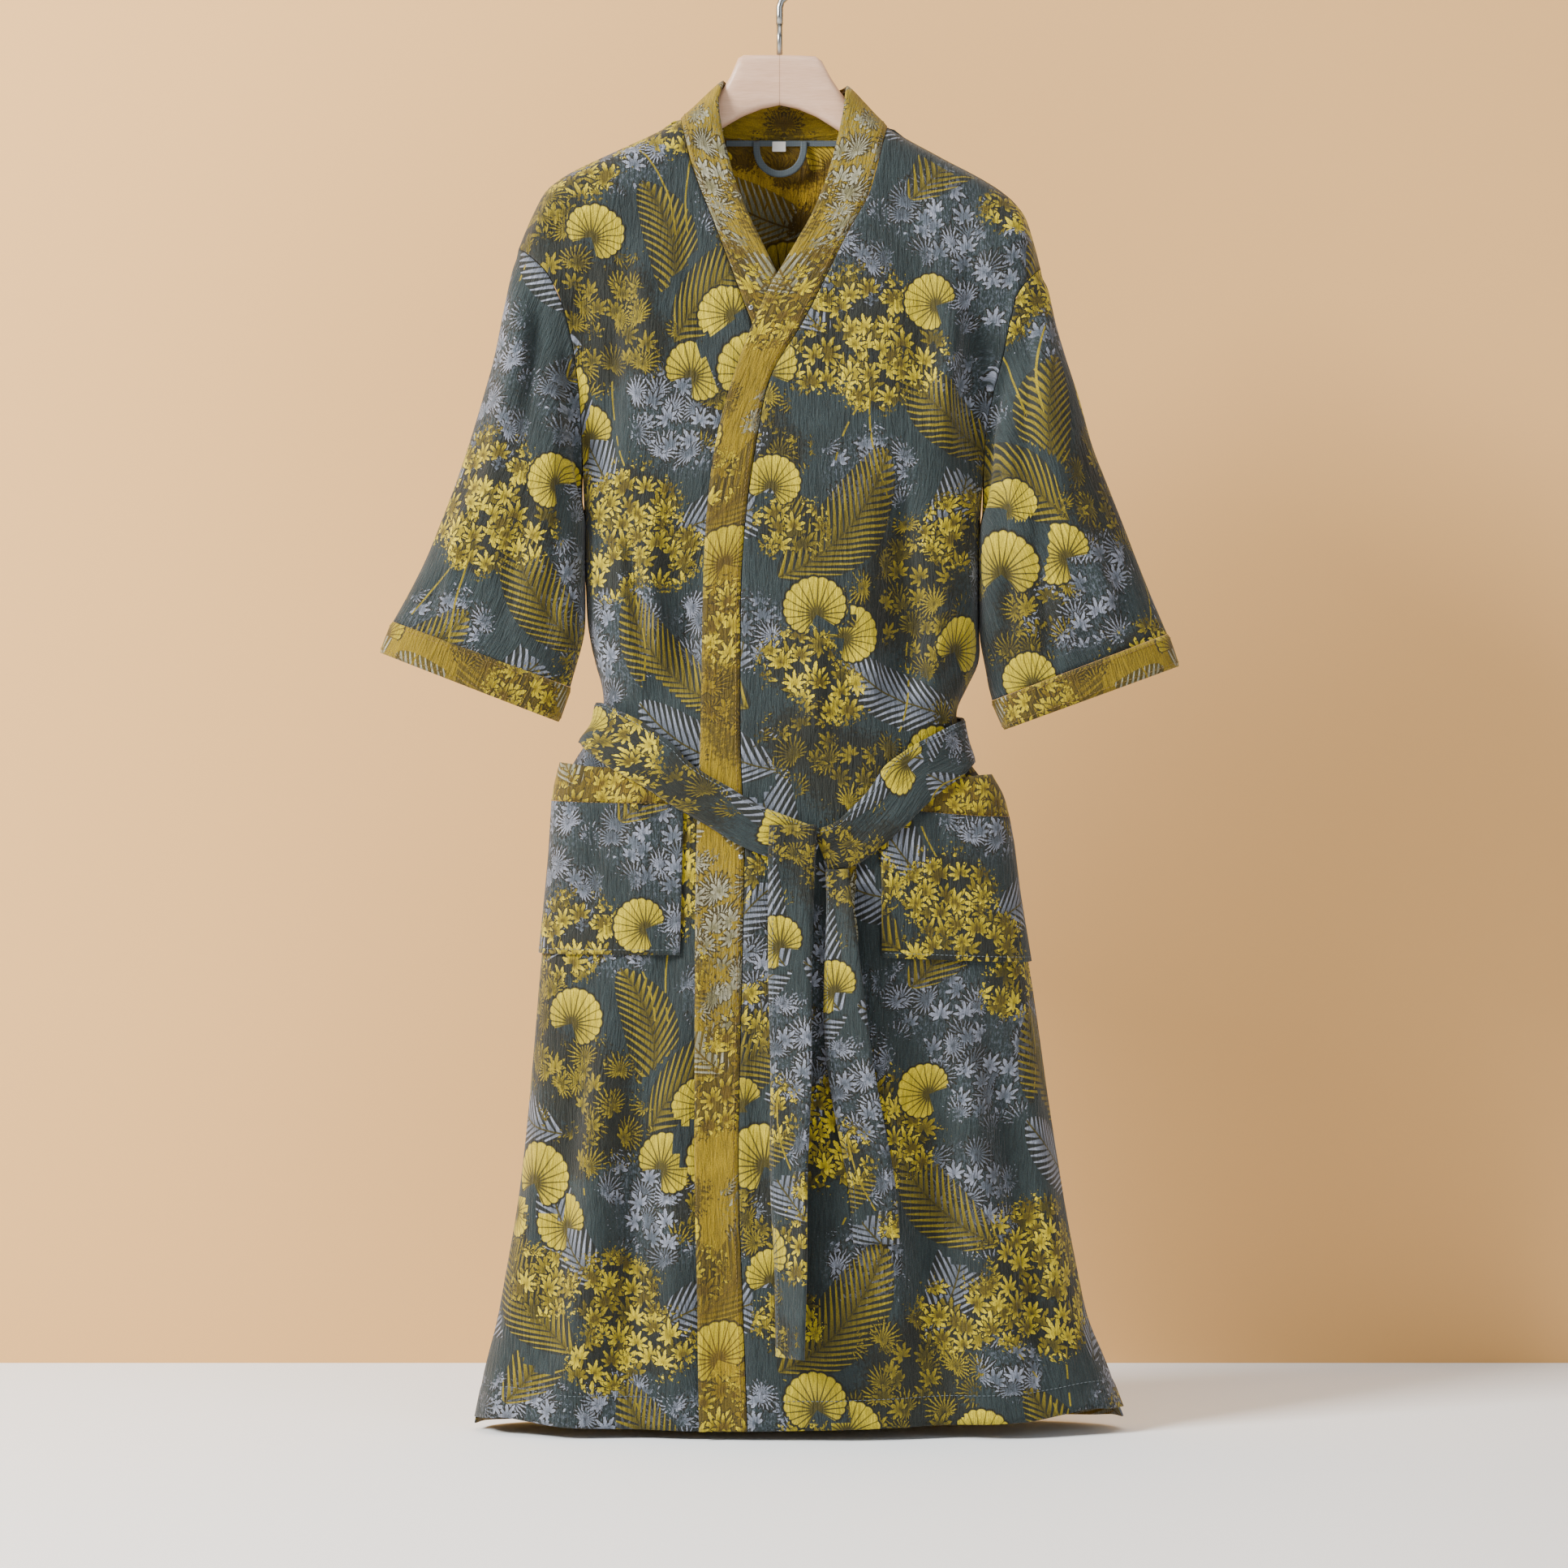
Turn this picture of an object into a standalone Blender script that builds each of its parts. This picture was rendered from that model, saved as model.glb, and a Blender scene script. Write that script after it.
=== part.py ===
"""Belted kimono robe hanging on a wooden hanger.

The origin is the seat of the hanger's hook. +Z is up, the robe's front faces -Y, and +X is the viewer's right,
which is the wearer's left. Sizes are in millimetres and are turned to metres where a mesh is made.
"""

import math

import bpy
import numpy as np

MM = 0.001
COLLECTION = "kimono_robe_on_hanger"

# Cloth
CLOTH = 1.6
DOUBLED_CLOTH = 2.4
SEAM_GAP = 0.3
BAND_GAP = 0.7
SIDE_GAP = 0.8
SHOULDER_GAP = 1.2
LAP = 2.2

# Robe
UNDERARM_FLAT = -500.0
HEM = -1315.0
NECK_COLUMNS = 8
PANEL_COLUMNS = 10
COLUMN_TURN = math.radians(78)
ARMHOLE_STEPS = 10
SECTION_POWER = 2.4
SHOULDER_ROUND = 25.0
SIDE_ROLL = 45.0
CUFF_WIDTH = 31.0

# Belt
BELT_WIDTH = 40.0
BELT_OFFSET = 6.9
TAIL_BOW = 0.9

# How far the trims inside the neck stand before the back's middle surface
TAPE_STAND = 1.8
LABEL_STAND = 3.0
LOOP_STAND = 3.4

# Hanger
WIRE = 6.4
PIN = 5.2
HOOK_RADIUS = 20.0
HANGER_TOP = -95.0
ARM_END = 207.0


def table(columns, *rows):
    """Rows under named columns, sorted by the first column."""
    data = np.array(sorted(rows), float)
    return {name: data[:, i] for i, name in enumerate(columns.split())}


def read(source, column, at):
    """The column's value at a value of the table's first column, on a curve that doesn't overshoot."""
    x = next(iter(source.values()))
    y = source[column]
    at = np.clip(np.asarray(at, float), x[0], x[-1])
    step = np.diff(x)
    slope = np.diff(y) / step
    tangent = np.zeros(len(x))
    same_way = slope[:-1] * slope[1:] > 0
    inner = 2 * slope[:-1] * slope[1:] / np.where(same_way, slope[:-1] + slope[1:], 1.0)
    tangent[1:-1] = np.where(same_way, inner, 0.0)
    tangent[0], tangent[-1] = slope[0], slope[-1]
    i = np.clip(np.searchsorted(x, at) - 1, 0, len(step) - 1)
    t = (at - x[i]) / step[i]
    rise = y[i + 1] - y[i]
    return (
        y[i]
        + rise * t * t * (3 - 2 * t)
        + step[i] * (t * (1 - t) ** 2 * tangent[i] - t * t * (1 - t) * tangent[i + 1])
    )


def ease(t):
    """A soft step from 0 to 1."""
    t = np.clip(t, 0.0, 1.0)
    return t * t * (3 - 2 * t)


# The top outline of the robe on the hanger, from sleeve seam to sleeve seam, and the collar's slope inside it
SHOULDER = table(
    "x z",
    (-233, -270),
    (-227, -255),
    (-219, -237),
    (-210, -220),
    (-191, -204.5),
    (-150, -184.5),
    (-104, -163),
    (-88, -154),
    (-50, -120),
    (-35, -105),
    (0, -80),
    (35, -103),
    (60, -124),
    (83, -150),
    (96, -161),
    (140, -186),
    (193, -215),
    (210, -229),
    (219, -241),
    (227, -265),
    (233, -288),
)

# Where the back neck is sewn to the neckband, and the band's upper edge there
BACK_NECK = table(
    "x z free_x free_z",
    (-88, -154, -50, -119.5),
    (-79, -159, -46, -121),
    (-62, -163.5, -38, -124),
    (-34, -166.5, -21, -128),
    (4, -167.5, 4, -129.5),
    (42, -167, 30, -129),
    (70, -165.5, 46, -127),
    (87, -163, 56, -125),
    (96, -161, 60, -124),
)

# The front bands: the seam with the panel and the free edge, down from the side of the neck
BAND_LEFT = table(
    "seam_z seam_x free_x free_z",
    (-161, 96, 60, -124),
    (-193, 88, 55, -157),
    (-224, 79, 46, -195),
    (-250, 65, 34.7, -229),
    (-277, 50.6, 22, -253),
    (-308, 37, 9, -278),
    (-327, 27.5, -4, -302),
    (-350, 14, -19, -326),
    (-367, 3.6, -28, -351),
    (-396, -11, -41, -388),
    (-432, -18, -53, -430),
    (-475, -25, -60.5, -474),
    (-519, -30.5, -65, -519),
    (-580, -34, -67.5, -580),
    (-692, -34.7, -69.5, -692),
    (-812, -31, -73.5, -812),
    (-895, -32.5, -74.5, -895),
    (-1090, -36, -75, -1090),
    (-1184, -33, -73, -1184),
    (-1315, -28, -71, -1315),
)
BAND_RIGHT = table(
    "seam_z seam_x free_x free_z",
    (-154, -88, -50, -119.5),
    (-178, -83, -54, -141),
    (-202, -76.6, -48.5, -178),
    (-232, -65, -39, -210),
    (-260, -54, -26, -245),
    (-293, -42, -10, -278),
    (-327, -29.6, 5, -309),
    (-362, -15, 20, -348),
    (-400, 1, 36, -388),
    (-440, 14, 50, -432),
    (-490, 25, 62, -485),
    (-560, 33, 70, -558),
    (-660, 38, 75, -660),
    (-800, 41, 78, -800),
    (-1000, 43, 80, -1000),
    (-1315, 43, 81, -1315),
)

# Armholes: distance out, and half the opening from front to back
ARMHOLE_RIGHT = table(
    "z x y",
    (-270, -233, 0),
    (-276, -224, 20),
    (-289, -210, 30),
    (-308, -198, 32),
    (-332, -190, 27),
    (-362, -183, 22),
    (-398, -178.5, 18),
    (-446, -175.5, 16),
    (-482, -174.5, 12),
    (-498, -174, 6),
    (-504, -174, 0),
)
ARMHOLE_LEFT = table(
    "z x y",
    (-288, 233, 0),
    (-293, 227, 18),
    (-303, 217, 28),
    (-318, 209, 31),
    (-340, 204, 27),
    (-370, 198, 22),
    (-405, 189, 18),
    (-452, 182, 16),
    (-492, 180, 12),
    (-508, 179, 6),
    (-514, 179, 0),
)

# Side seams below the armholes
SIDES = table(
    "z right left",
    (-504, -174, 179),
    (-560, -173, 178),
    (-612, -170, 178),
    (-640, -164, 177),
    (-660, -158.5, 168),
    (-672, -156, 161),
    (-690, -159, 157),
    (-708, -168, 161),
    (-733, -187, 169),
    (-745, -191, 181),
    (-765, -196, 193),
    (-800, -200, 203),
    (-840, -205, 210),
    (-895, -211.5, 220),
    (-960, -217, 230),
    (-1018, -222, 238),
    (-1070, -227, 246),
    (-1126, -234, 255),
    (-1184, -244, 266),
    (-1224, -251, 274),
    (-1260, -260, 286),
    (-1290, -267, 298),
    (-1315, -272, 307),
)

# Half the depth of the hanging robe, to the front and to the back of the side seams
DEPTH = table(
    "z front back",
    (-1320, 62, 70),
    (-1200, 60, 66),
    (-1000, 58, 61),
    (-800, 54, 54),
    (-700, 50, 47),
    (-600, 52, 50),
    (-500, 50, 51),
    (-400, 44, 46),
    (-300, 36, 38),
    (-220, 26, 30),
    (-160, 21, 25),
    (-110, 17, 20),
)

HEMLINE = table(
    "x front back",
    (-272, -1314, -1320),
    (-240, -1310, -1322),
    (-200, -1315, -1319),
    (-71, -1318, -1321),
    (81, -1315, -1322),
    (160, -1313, -1318),
    (225, -1310, -1320),
    (280, -1302, -1318),
    (307, -1305, -1314),
)

# Heights of the rows below the armholes
LOWER_ROWS = (
    -540, -575, -610, -640, -662, -682, -702, -722, -745, -770, -800, -835, -875, -920, -970,
    -1025, -1080, -1135, -1185, -1230, -1270, HEM,
)

# How far each of the armhole's rows has come down at the neck, from the neck's side to the flat row
NECK_SHARE = (0, 0.017, 0.055, 0.115, 0.19, 0.285, 0.395, 0.525, 0.67, 0.83, 1.0)

FOLD_COLUMNS = ("x_top", "z_top", "x_low", "z_low", "half_width", "height")
FOLD_ROWS = {
    "front": (
        (-211, -232, -181, -345, 9, -10),
        (215, -250, 203, -360, 9, -9),
        (166, -212, 174, -430, 10, -5),
        (-130, -230, -150, -470, 14, -4),
        (-104, -430, -97, -705, 17, -8),
        (-140, -480, -128, -700, 13, 5),
        (104, -470, 100, -712, 16, -7),
        (140, -560, 132, -700, 12, 5),
        (30, -560, 20, -770, 18, 4),
        (-150, -905, -196, -1400, 22, 8),
        (-112, -905, -140, -1400, 20, -8),
        (-44, -850, -50, -1400, 14, -4),
        (118, -905, 152, -1400, 20, -9),
        (158, -905, 214, -1400, 24, 9),
        (60, -900, 66, -1400, 28, 3),
    ),
    "back": (
        (-196, -250, -176, -420, 10, -9),
        (196, -260, 180, -430, 10, -9),
        (-60, -300, -70, -700, 22, -7),
        (-8, -380, -4, -700, 20, 6),
        (70, -320, 60, -700, 22, -7),
        (-110, -520, -100, -700, 14, 5),
        (112, -520, 104, -700, 14, 5),
        (-110, -705, -170, -1420, 22, 9),
        (-66, -705, -96, -1420, 20, -9),
        (-16, -705, -26, -1420, 21, 9),
        (34, -705, 46, -1420, 20, -9),
        (80, -705, 118, -1420, 22, 9),
        (118, -705, 186, -1420, 24, -9),
    ),
}
FOLDS = {side: [dict(zip(FOLD_COLUMNS, row)) for row in rows] for side, rows in FOLD_ROWS.items()}
FOLD_FADE = 0.25

# Sleeves, as rings from the armhole to the cuff's seam and then to its edge
SLEEVE_COLUMNS = "step outer_x outer_z inner_x inner_z half_depth"
SLEEVE_RIGHT = table(
    SLEEVE_COLUMNS,
    (1, -238.5, -290, -176.8, -508, 37),
    (2, -246.5, -327, -177.2, -520, 43),
    (3, -254.5, -367, -177.6, -535, 46),
    (4, -264.5, -403, -177.8, -552, 46),
    (5, -277.5, -446, -177.8, -572, 45),
    (6, -289, -480, -177.8, -592, 43),
    (7, -302, -514, -178.5, -612, 41),
    (8, -315.5, -547, -181, -631, 39),
    (9, -330, -576, -184.5, -648, 37),
    (10, -345, -603, -188, -661, 36),
    (11, -356, -631, -199, -692, 36),
)
SLEEVE_LEFT = table(
    SLEEVE_COLUMNS,
    (1, 239.5, -306, 182, -519, 37),
    (2, 246, -335, 182.4, -530, 43),
    (3, 255, -366, 182.6, -545, 46),
    (4, 267, -403, 182.8, -562, 46),
    (5, 279, -446, 182.8, -582, 45),
    (6, 293, -482, 182.8, -602, 43),
    (7, 308, -520, 183.2, -622, 41),
    (8, 321, -554, 185, -642, 39),
    (9, 334, -586, 187.5, -659, 37),
    (10, 346, -614, 191, -673, 36),
    (11, 356, -643, 202.5, -699, 36),
)

# The belt's middle line round the waist: the angle from the front's middle, to the viewer's right, and the height
BELT_LINE = table(
    "angle z",
    (-180, -704),
    (-135, -701),
    (-100, -696),
    (-80, -696),
    (-62, -703),
    (-50, -711),
    (-38, -723),
    (-30, -733),
    (-22, -748),
    (-11, -770),
    (-3, -790),
    (2, -799),
    (7, -808),
    (10.5, -807),
    (14, -797),
    (21, -780),
    (32, -754),
    (42, -738),
    (52, -728),
    (75, -715),
    (100, -708),
    (135, -704),
    (180, -704),
)
BELT_START = 6.0
BELT_STATIONS = 60

# Belt ends: the middle line, the width across and the turn about it, and the distance in front of the panel
TAIL_LONG = table(
    "z x width turn lift",
    (-1250, 9.5, 24, 50, 12),
    (-1180, 10, 27, 46, 12),
    (-1090, 8.5, 33, 33, 11),
    (-1000, 10.5, 36, 24, 11),
    (-920, 9.5, 38, 14, 11),
    (-860, 10, 40, 6, 12),
    (-830, 10.5, 41, 0, 12.6),
    (-806, 11, 42, 0, 13.5),
    (-793, 11.5, 42.5, 0, 12.5),
    (-787, 12, 42, 0, 11.4),
    (-784.3, 12, 42, 0, 9.8),
)
TAIL_SHORT = table(
    "z x width turn lift",
    (-1152, 85.5, 41, 0, 8),
    (-1108, 82, 41.5, 4, 8.5),
    (-1035, 69, 42, 8, 9),
    (-993, 62, 41, 12, 9.5),
    (-952, 58, 38, 18, 10),
    (-905, 55.5, 31, 26, 10.5),
    (-868, 54, 25, 30, 10.5),
    (-838, 52, 21, 24, 10.3),
    (-823.2, 51, 20, 8, 9.6),
)

# Pockets: the inner edge, the mouth's heights at the inner and outer edges, and the bottom's
POCKET_COLUMNS = ("inner_top", "inner_low", "mouth_inner", "mouth_outer", "low_inner", "low_outer", "band")
POCKET_RIGHT = dict(zip(POCKET_COLUMNS, (-84, -88, -735, -733, -899, -899, 31)))
POCKET_LEFT = dict(zip(POCKET_COLUMNS, (89, 90, -736, -746, -901, -907, 33)))
POCKET_OFFSET = 2.8
POCKET_GAPE = 7.0

# Hanger sections from end to end
HANGER_BOTTOM = table(
    "x z",
    (-207, -243),
    (-180, -232),
    (-130, -208),
    (-88, -186),
    (-49, -160),
    (-22, -146),
    (0, -140.5),
    (22, -146),
    (52, -163),
    (88, -188),
    (130, -212),
    (180, -240),
    (207, -252),
)
HANGER_TOPLINE = table(
    "x z",
    (-88, -159.6),
    (-70, -146),
    (-56, -131.5),
    (-50, -125),
    (-44, -115),
    (-37, -98.5),
    (-32, -95.5),
    (0, -95.5),
    (32, -96.5),
    (38, -101),
    (46, -116),
    (54, -128),
    (68, -145.5),
    (86, -162),
    (104, -170),
)
HANGER_SECTION = table(
    "x half bluntness",
    (-207, 10, 1.0),
    (-120, 9.5, 1.0),
    (-62, 8.5, 0.95),
    (-44, 8, 0.62),
    (0, 8, 0.6),
    (44, 8, 0.62),
    (62, 8.5, 0.95),
    (120, 9.5, 1.0),
    (207, 10, 1.0),
)


def clear_scene():
    for item in list(bpy.data.objects):
        bpy.data.objects.remove(item)


def material(name, colour, roughness, metallic=0.0):
    """A Principled material from an sRGB colour in hexadecimal."""
    made = bpy.data.materials.new(name)
    made.use_nodes = True
    shader = made.node_tree.nodes["Principled BSDF"]
    parts = [int(colour[i : i + 2], 16) / 255 for i in (0, 2, 4)]
    linear = [c / 12.92 if c <= 0.04045 else ((c + 0.055) / 1.055) ** 2.4 for c in parts]
    shader.inputs["Base Color"].default_value = (*linear, 1.0)
    shader.inputs["Roughness"].default_value = roughness
    shader.inputs["Metallic"].default_value = metallic
    return made


def add_object(name, data, finish, collection):
    data.materials.append(finish)
    item = bpy.data.objects.new(name, data)
    collection.objects.link(item)
    return item


def grid_mesh(name, points, wraps=False):
    """A mesh of four-sided faces over rows of points, closed round the columns where it wraps."""
    rows, columns = points.shape[:2]
    faces = []
    for r in range(rows - 1):
        for c in range(columns if wraps else columns - 1):
            d = (c + 1) % columns
            faces.append((r * columns + c, r * columns + d, (r + 1) * columns + d, (r + 1) * columns + c))
    mesh = bpy.data.meshes.new(name)
    mesh.from_pydata((points.reshape(-1, 3) * MM).tolist(), [], faces)
    mesh.update()
    mesh.shade_smooth()
    return mesh


def sheet(name, points, thickness, finish, collection, wraps=False):
    """A piece of cloth: an open surface given its wall by Solidify, half to each side."""
    item = add_object(name, grid_mesh(name, points, wraps), finish, collection)
    wall = item.modifiers.new("wall", "SOLIDIFY")
    wall.thickness = thickness * MM
    wall.offset = 0.0
    return item


def fold_height(face, x, z):
    """The folds' shape at a place, in millimetres out from the plain surface."""
    total = np.zeros(np.broadcast(x, z).shape)
    for fold in FOLDS[face]:
        t = (z - fold["z_top"]) / (fold["z_low"] - fold["z_top"])
        middle = fold["x_top"] + (fold["x_low"] - fold["x_top"]) * t
        along = ease(t / FOLD_FADE) * ease((1 - t) / FOLD_FADE)
        spread = fold["half_width"] * (0.7 + 0.6 * np.clip(t, 0, 1))
        total = total + fold["height"] * along * np.exp(-(((x - middle) / spread) ** 2))
    return total


def edge_profile(distance, full, soft):
    """How far the section has come out at a distance from its side edge: round where full is 1, rolled where 0."""
    reach, width = soft
    round_side = (1 - (1 - np.clip(distance / reach, 0, 1)) ** SECTION_POWER) ** (1 / SECTION_POWER)
    return full * round_side + (1 - full) * ease(distance / width)


def depth_at(face, x, z, sides):
    """The distance of the front or back surface from the plane of the side seams."""
    plain = read(DEPTH, face, z)
    ridge = np.clip((read(SHOULDER, "z", x) - z) / SHOULDER_ROUND, 0, 1)
    plain = plain * np.sqrt(1 - (1 - ridge) ** 2)
    reach = abs(sides["left"]["x"] - sides["right"]["x"]) / 2
    profile, edge, near = 1.0, 0.0, 1.0
    for side in sides.values():
        distance = np.abs(x - side["x"])
        profile = profile * edge_profile(distance, side["full"], (reach, side["roll"]))
        edge = edge + side["y"] * (1 - ease(distance / side["roll"]))
        near = near * ease(distance / 14)
    return plain * profile + edge + fold_height(face, x, z) * near * ridge


def armhole_point(hole, share):
    """A point of the armhole's half ring: 0 at the shoulder and 1 under the arm."""
    top, low = hole["z"][-1], hole["z"][0]
    z = (top + low) / 2 + (top - low) / 2 * math.cos(math.pi * share)
    return float(read(hole, "x", z)), float(read(hole, "y", z)), z


def row_sides(row):
    """The outer edges of a row of the body on both hands."""
    sides = {}
    for hand, hole in (("right", ARMHOLE_RIGHT), ("left", ARMHOLE_LEFT)):
        if row <= ARMHOLE_STEPS:
            x, y, z = armhole_point(hole, row / ARMHOLE_STEPS)
            full = float(ease((row - 6.5) / 3.5))
            roll = 12.0 + (SIDE_ROLL - 12.0) * float(ease((row - 2) / 3))
        else:
            z = LOWER_ROWS[row - ARMHOLE_STEPS - 1]
            x, y, full, roll = float(read(SIDES, hand, z)), 0.0, 1.0, SIDE_ROLL
        sides[hand] = {"x": x, "y": y, "z": z, "full": full, "roll": roll}
    return sides


def sides_at(z):
    """The side seams at a height below the armholes."""
    return {
        hand: {"x": float(read(SIDES, hand, z)), "y": 0.0, "z": z, "full": 1.0, "roll": SIDE_ROLL}
        for hand in ("right", "left")
    }


ROW_COUNT = ARMHOLE_STEPS + 1 + len(LOWER_ROWS)


def inner_height(row, top):
    """The height of a row where it meets the neck or the front band."""
    if row <= ARMHOLE_STEPS:
        return top + (UNDERARM_FLAT - top) * NECK_SHARE[row]
    return LOWER_ROWS[row - ARMHOLE_STEPS - 1]


HEM_REACH = 130.0


def to_hem(face, x, z):
    """A height moved down to the hemline over the last stretch of the skirt."""
    return z + (read(HEMLINE, face, x) - HEM) * ease((HEM + HEM_REACH - z) / HEM_REACH)


def seam_gap_at(row):
    """Half the gap between front and back: wider along the shoulder, where they lie over the hanger."""
    return SHOULDER_GAP / 2 if row == 0 else SIDE_GAP / 2


def panel_columns(row, hand, inner_x, top_x, top_z):
    """Places across a row from its inner edge to its outer edge: x and z."""
    side, first = row_sides(row)[hand], row_sides(0)[hand]
    share = np.sin(np.linspace(0, COLUMN_TURN, PANEL_COLUMNS + 1)) / math.sin(COLUMN_TURN)
    inner_z = inner_height(row, top_z)
    x = inner_x + (side["x"] - inner_x) * share
    z = inner_z + (side["z"] - inner_z) * share
    ridge = read(SHOULDER, "z", top_x + (first["x"] - top_x) * share)
    straight = top_z + (first["z"] - top_z) * share
    fade = 1 - NECK_SHARE[row] if row <= ARMHOLE_STEPS else 0.0
    return x, z + (ridge - straight) * fade


def lap_shift(hand, x):
    """The over front lies before the common surface, and the under front behind it, where they overlap."""
    if hand == "left":
        return LAP * (1 - ease((x - 83) / 26))
    return -LAP * ease((x + 165) / 70)


def front_panel(hand):
    """Rows of points over one front, from its band's seam to the armhole and side seam."""
    band = BAND_LEFT if hand == "left" else BAND_RIGHT
    away = 1 if hand == "left" else -1
    top_z = band["seam_z"][-1]
    top_x = band["seam_x"][-1]
    rows = []
    for row in range(ROW_COUNT):
        sides = row_sides(row)
        inner_x = float(read(band, "seam_x", inner_height(row, top_z))) + away * BAND_GAP / 2
        x, z = panel_columns(row, hand, inner_x, top_x, top_z)
        depth = depth_at("front", x, z, sides) + lap_shift(hand, x) * ease((top_z - z) / 40)
        depth = np.maximum(depth, seam_gap_at(row))
        rows.append(np.stack([x, -depth, to_hem("front", x, z)], axis=1))
    return np.array(rows)


def back_panel():
    """Rows of points over the back, from the right armhole and side seam across to the left."""
    rows = []
    for row in range(ROW_COUNT):
        sides = row_sides(row)
        parts = []
        for hand, end in (("right", 0), ("left", -1)):
            top_x, top_z = BACK_NECK["x"][end], BACK_NECK["z"][end]
            parts.append(panel_columns(row, hand, top_x, top_x, top_z))
        neck_x = BACK_NECK["x"][1:-1]
        share = (neck_x - BACK_NECK["x"][0]) / (BACK_NECK["x"][-1] - BACK_NECK["x"][0])
        ends = parts[0][1][0] * (1 - share) + parts[1][1][0] * share
        dip = BACK_NECK["z"][1:-1] - (BACK_NECK["z"][0] * (1 - share) + BACK_NECK["z"][-1] * share)
        fade = 1 - NECK_SHARE[row] if row <= ARMHOLE_STEPS else 0.0
        x = np.concatenate([parts[0][0][::-1], neck_x, parts[1][0]])
        z = np.concatenate([parts[0][1][::-1], ends + dip * fade, parts[1][1]])
        depth = np.maximum(depth_at("back", x, z, sides), seam_gap_at(row))
        z = z - (SEAM_GAP / 2 if row == 0 else 0)
        rows.append(np.stack([x, depth, to_hem("back", x, z)], axis=1))
    return np.array(rows)


def band_back(hand):
    """The half of the neckband behind the neck, from the centre back to the side of the neck: seam and free edges."""
    middle = NECK_COLUMNS // 2
    order = range(middle, -1, -1) if hand == "right" else range(middle, NECK_COLUMNS + 1)
    towards = -1 if hand == "right" else 1
    sides = row_sides(3)
    rows = []
    for n, i in enumerate(order):
        last = i in (0, NECK_COLUMNS)
        gap = towards * SEAM_GAP / 2 if n == 0 else 0.0
        x = np.linspace(BACK_NECK["x"][i], BACK_NECK["free_x"][i], 3) + gap
        z = np.linspace(BACK_NECK["z"][i], BACK_NECK["free_z"][i], 3) + BAND_GAP / 2
        depth = depth_at("back", x, z, sides) * np.linspace(1.0, 0.84, 3)
        if last:
            x[0] -= towards * 0.9
            z[0] += 0.9
            depth = np.zeros(3)
        rows.append(np.stack([x, depth, z], axis=1))
    return rows


def band_front(hand):
    """The band along a front, from the side of the neck to the hem."""
    band = BAND_LEFT if hand == "left" else BAND_RIGHT
    towards = -1 if hand == "left" else 1
    top_z = band["seam_z"][-1]
    rows = []
    for row in range(1, ROW_COUNT):
        sides = row_sides(row)
        seam_z = inner_height(row, top_z)
        seam_x = float(read(band, "seam_x", seam_z)) + towards * BAND_GAP / 2
        free_x, free_z = float(read(band, "free_x", seam_z)), float(read(band, "free_z", seam_z))
        x, z = np.linspace(seam_x, free_x, 3), np.linspace(seam_z, free_z, 3)
        depth = depth_at("front", x, z, sides) + lap_shift(hand, x) * ease((top_z - z) / 40)
        rows.append(np.stack([x, -depth, to_hem("front", x, z)], axis=1))
    return rows


def body_frame(angle, z):
    """A point of the body below the armholes at an angle from the front's middle, and the way out there."""

    def at(a, height):
        sides = sides_at(height)
        low, high = sides["right"]["x"], sides["left"]["x"]
        s, c = math.sin(math.radians(a)), math.cos(math.radians(a))
        x = (low + high) / 2 + (high - low) / 2 * math.copysign(abs(s) ** (2 / SECTION_POWER), s)
        depth = float(depth_at("front" if c > 0 else "back", x, height, sides))
        return np.array([x, -depth if c > 0 else depth, height])

    across = at(angle + 2, z) - at(angle - 2, z)
    down = at(angle, z + 6) - at(angle, z - 6)
    out = np.cross(across, down)
    return at(angle, z), out / np.linalg.norm(out), np.linalg.norm(across) / 4


def front_frame(x, z):
    """The same frame at a distance across the front."""
    sides = sides_at(z)
    low, high = sides["right"]["x"], sides["left"]["x"]
    u = np.clip(2 * (x - (low + high) / 2) / (high - low), -1, 1)
    angle = math.degrees(math.asin(math.copysign(abs(u) ** (SECTION_POWER / 2), u)))
    return body_frame(angle, z)


def pocket_parts(hand):
    """Rows of points for a pocket's band and bag, laid on the front and standing off at the mouth."""
    pocket = POCKET_RIGHT if hand == "right" else POCKET_LEFT
    across = np.sin(np.linspace(0, math.pi / 2, 8))
    levels = {"band": (0, pocket["band"]), "bag": (pocket["band"] + SEAM_GAP, None)}
    parts = {}
    for part, (start, stop) in levels.items():
        rows = []
        for share in np.linspace(0, 1, 3 if part == "band" else 7):
            row = []
            for q in across:
                mouth = pocket["mouth_inner"] + (pocket["mouth_outer"] - pocket["mouth_inner"]) * q
                low = pocket["low_inner"] + (pocket["low_outer"] - pocket["low_inner"]) * q
                end = low if stop is None else mouth - stop
                z = (mouth - start) * (1 - share) + end * share
                t = (mouth - z) / (mouth - low)
                side = float(read(SIDES, hand, z))
                inner = pocket["inner_top"] + (pocket["inner_low"] - pocket["inner_top"]) * t
                x = inner + (side - inner) * q
                point, out, _ = front_frame(x, z)
                point[1] -= float(lap_shift(hand, x))
                gape = POCKET_GAPE * (1 - t) ** 2 * float(ease((q - 0.7) / 0.25))
                point = point + out * (POCKET_OFFSET + gape)
                point[1] = min(point[1], -SIDE_GAP / 2)
                row.append(point)
            rows.append(row)
        parts[part] = np.array(rows)
    return parts


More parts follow.
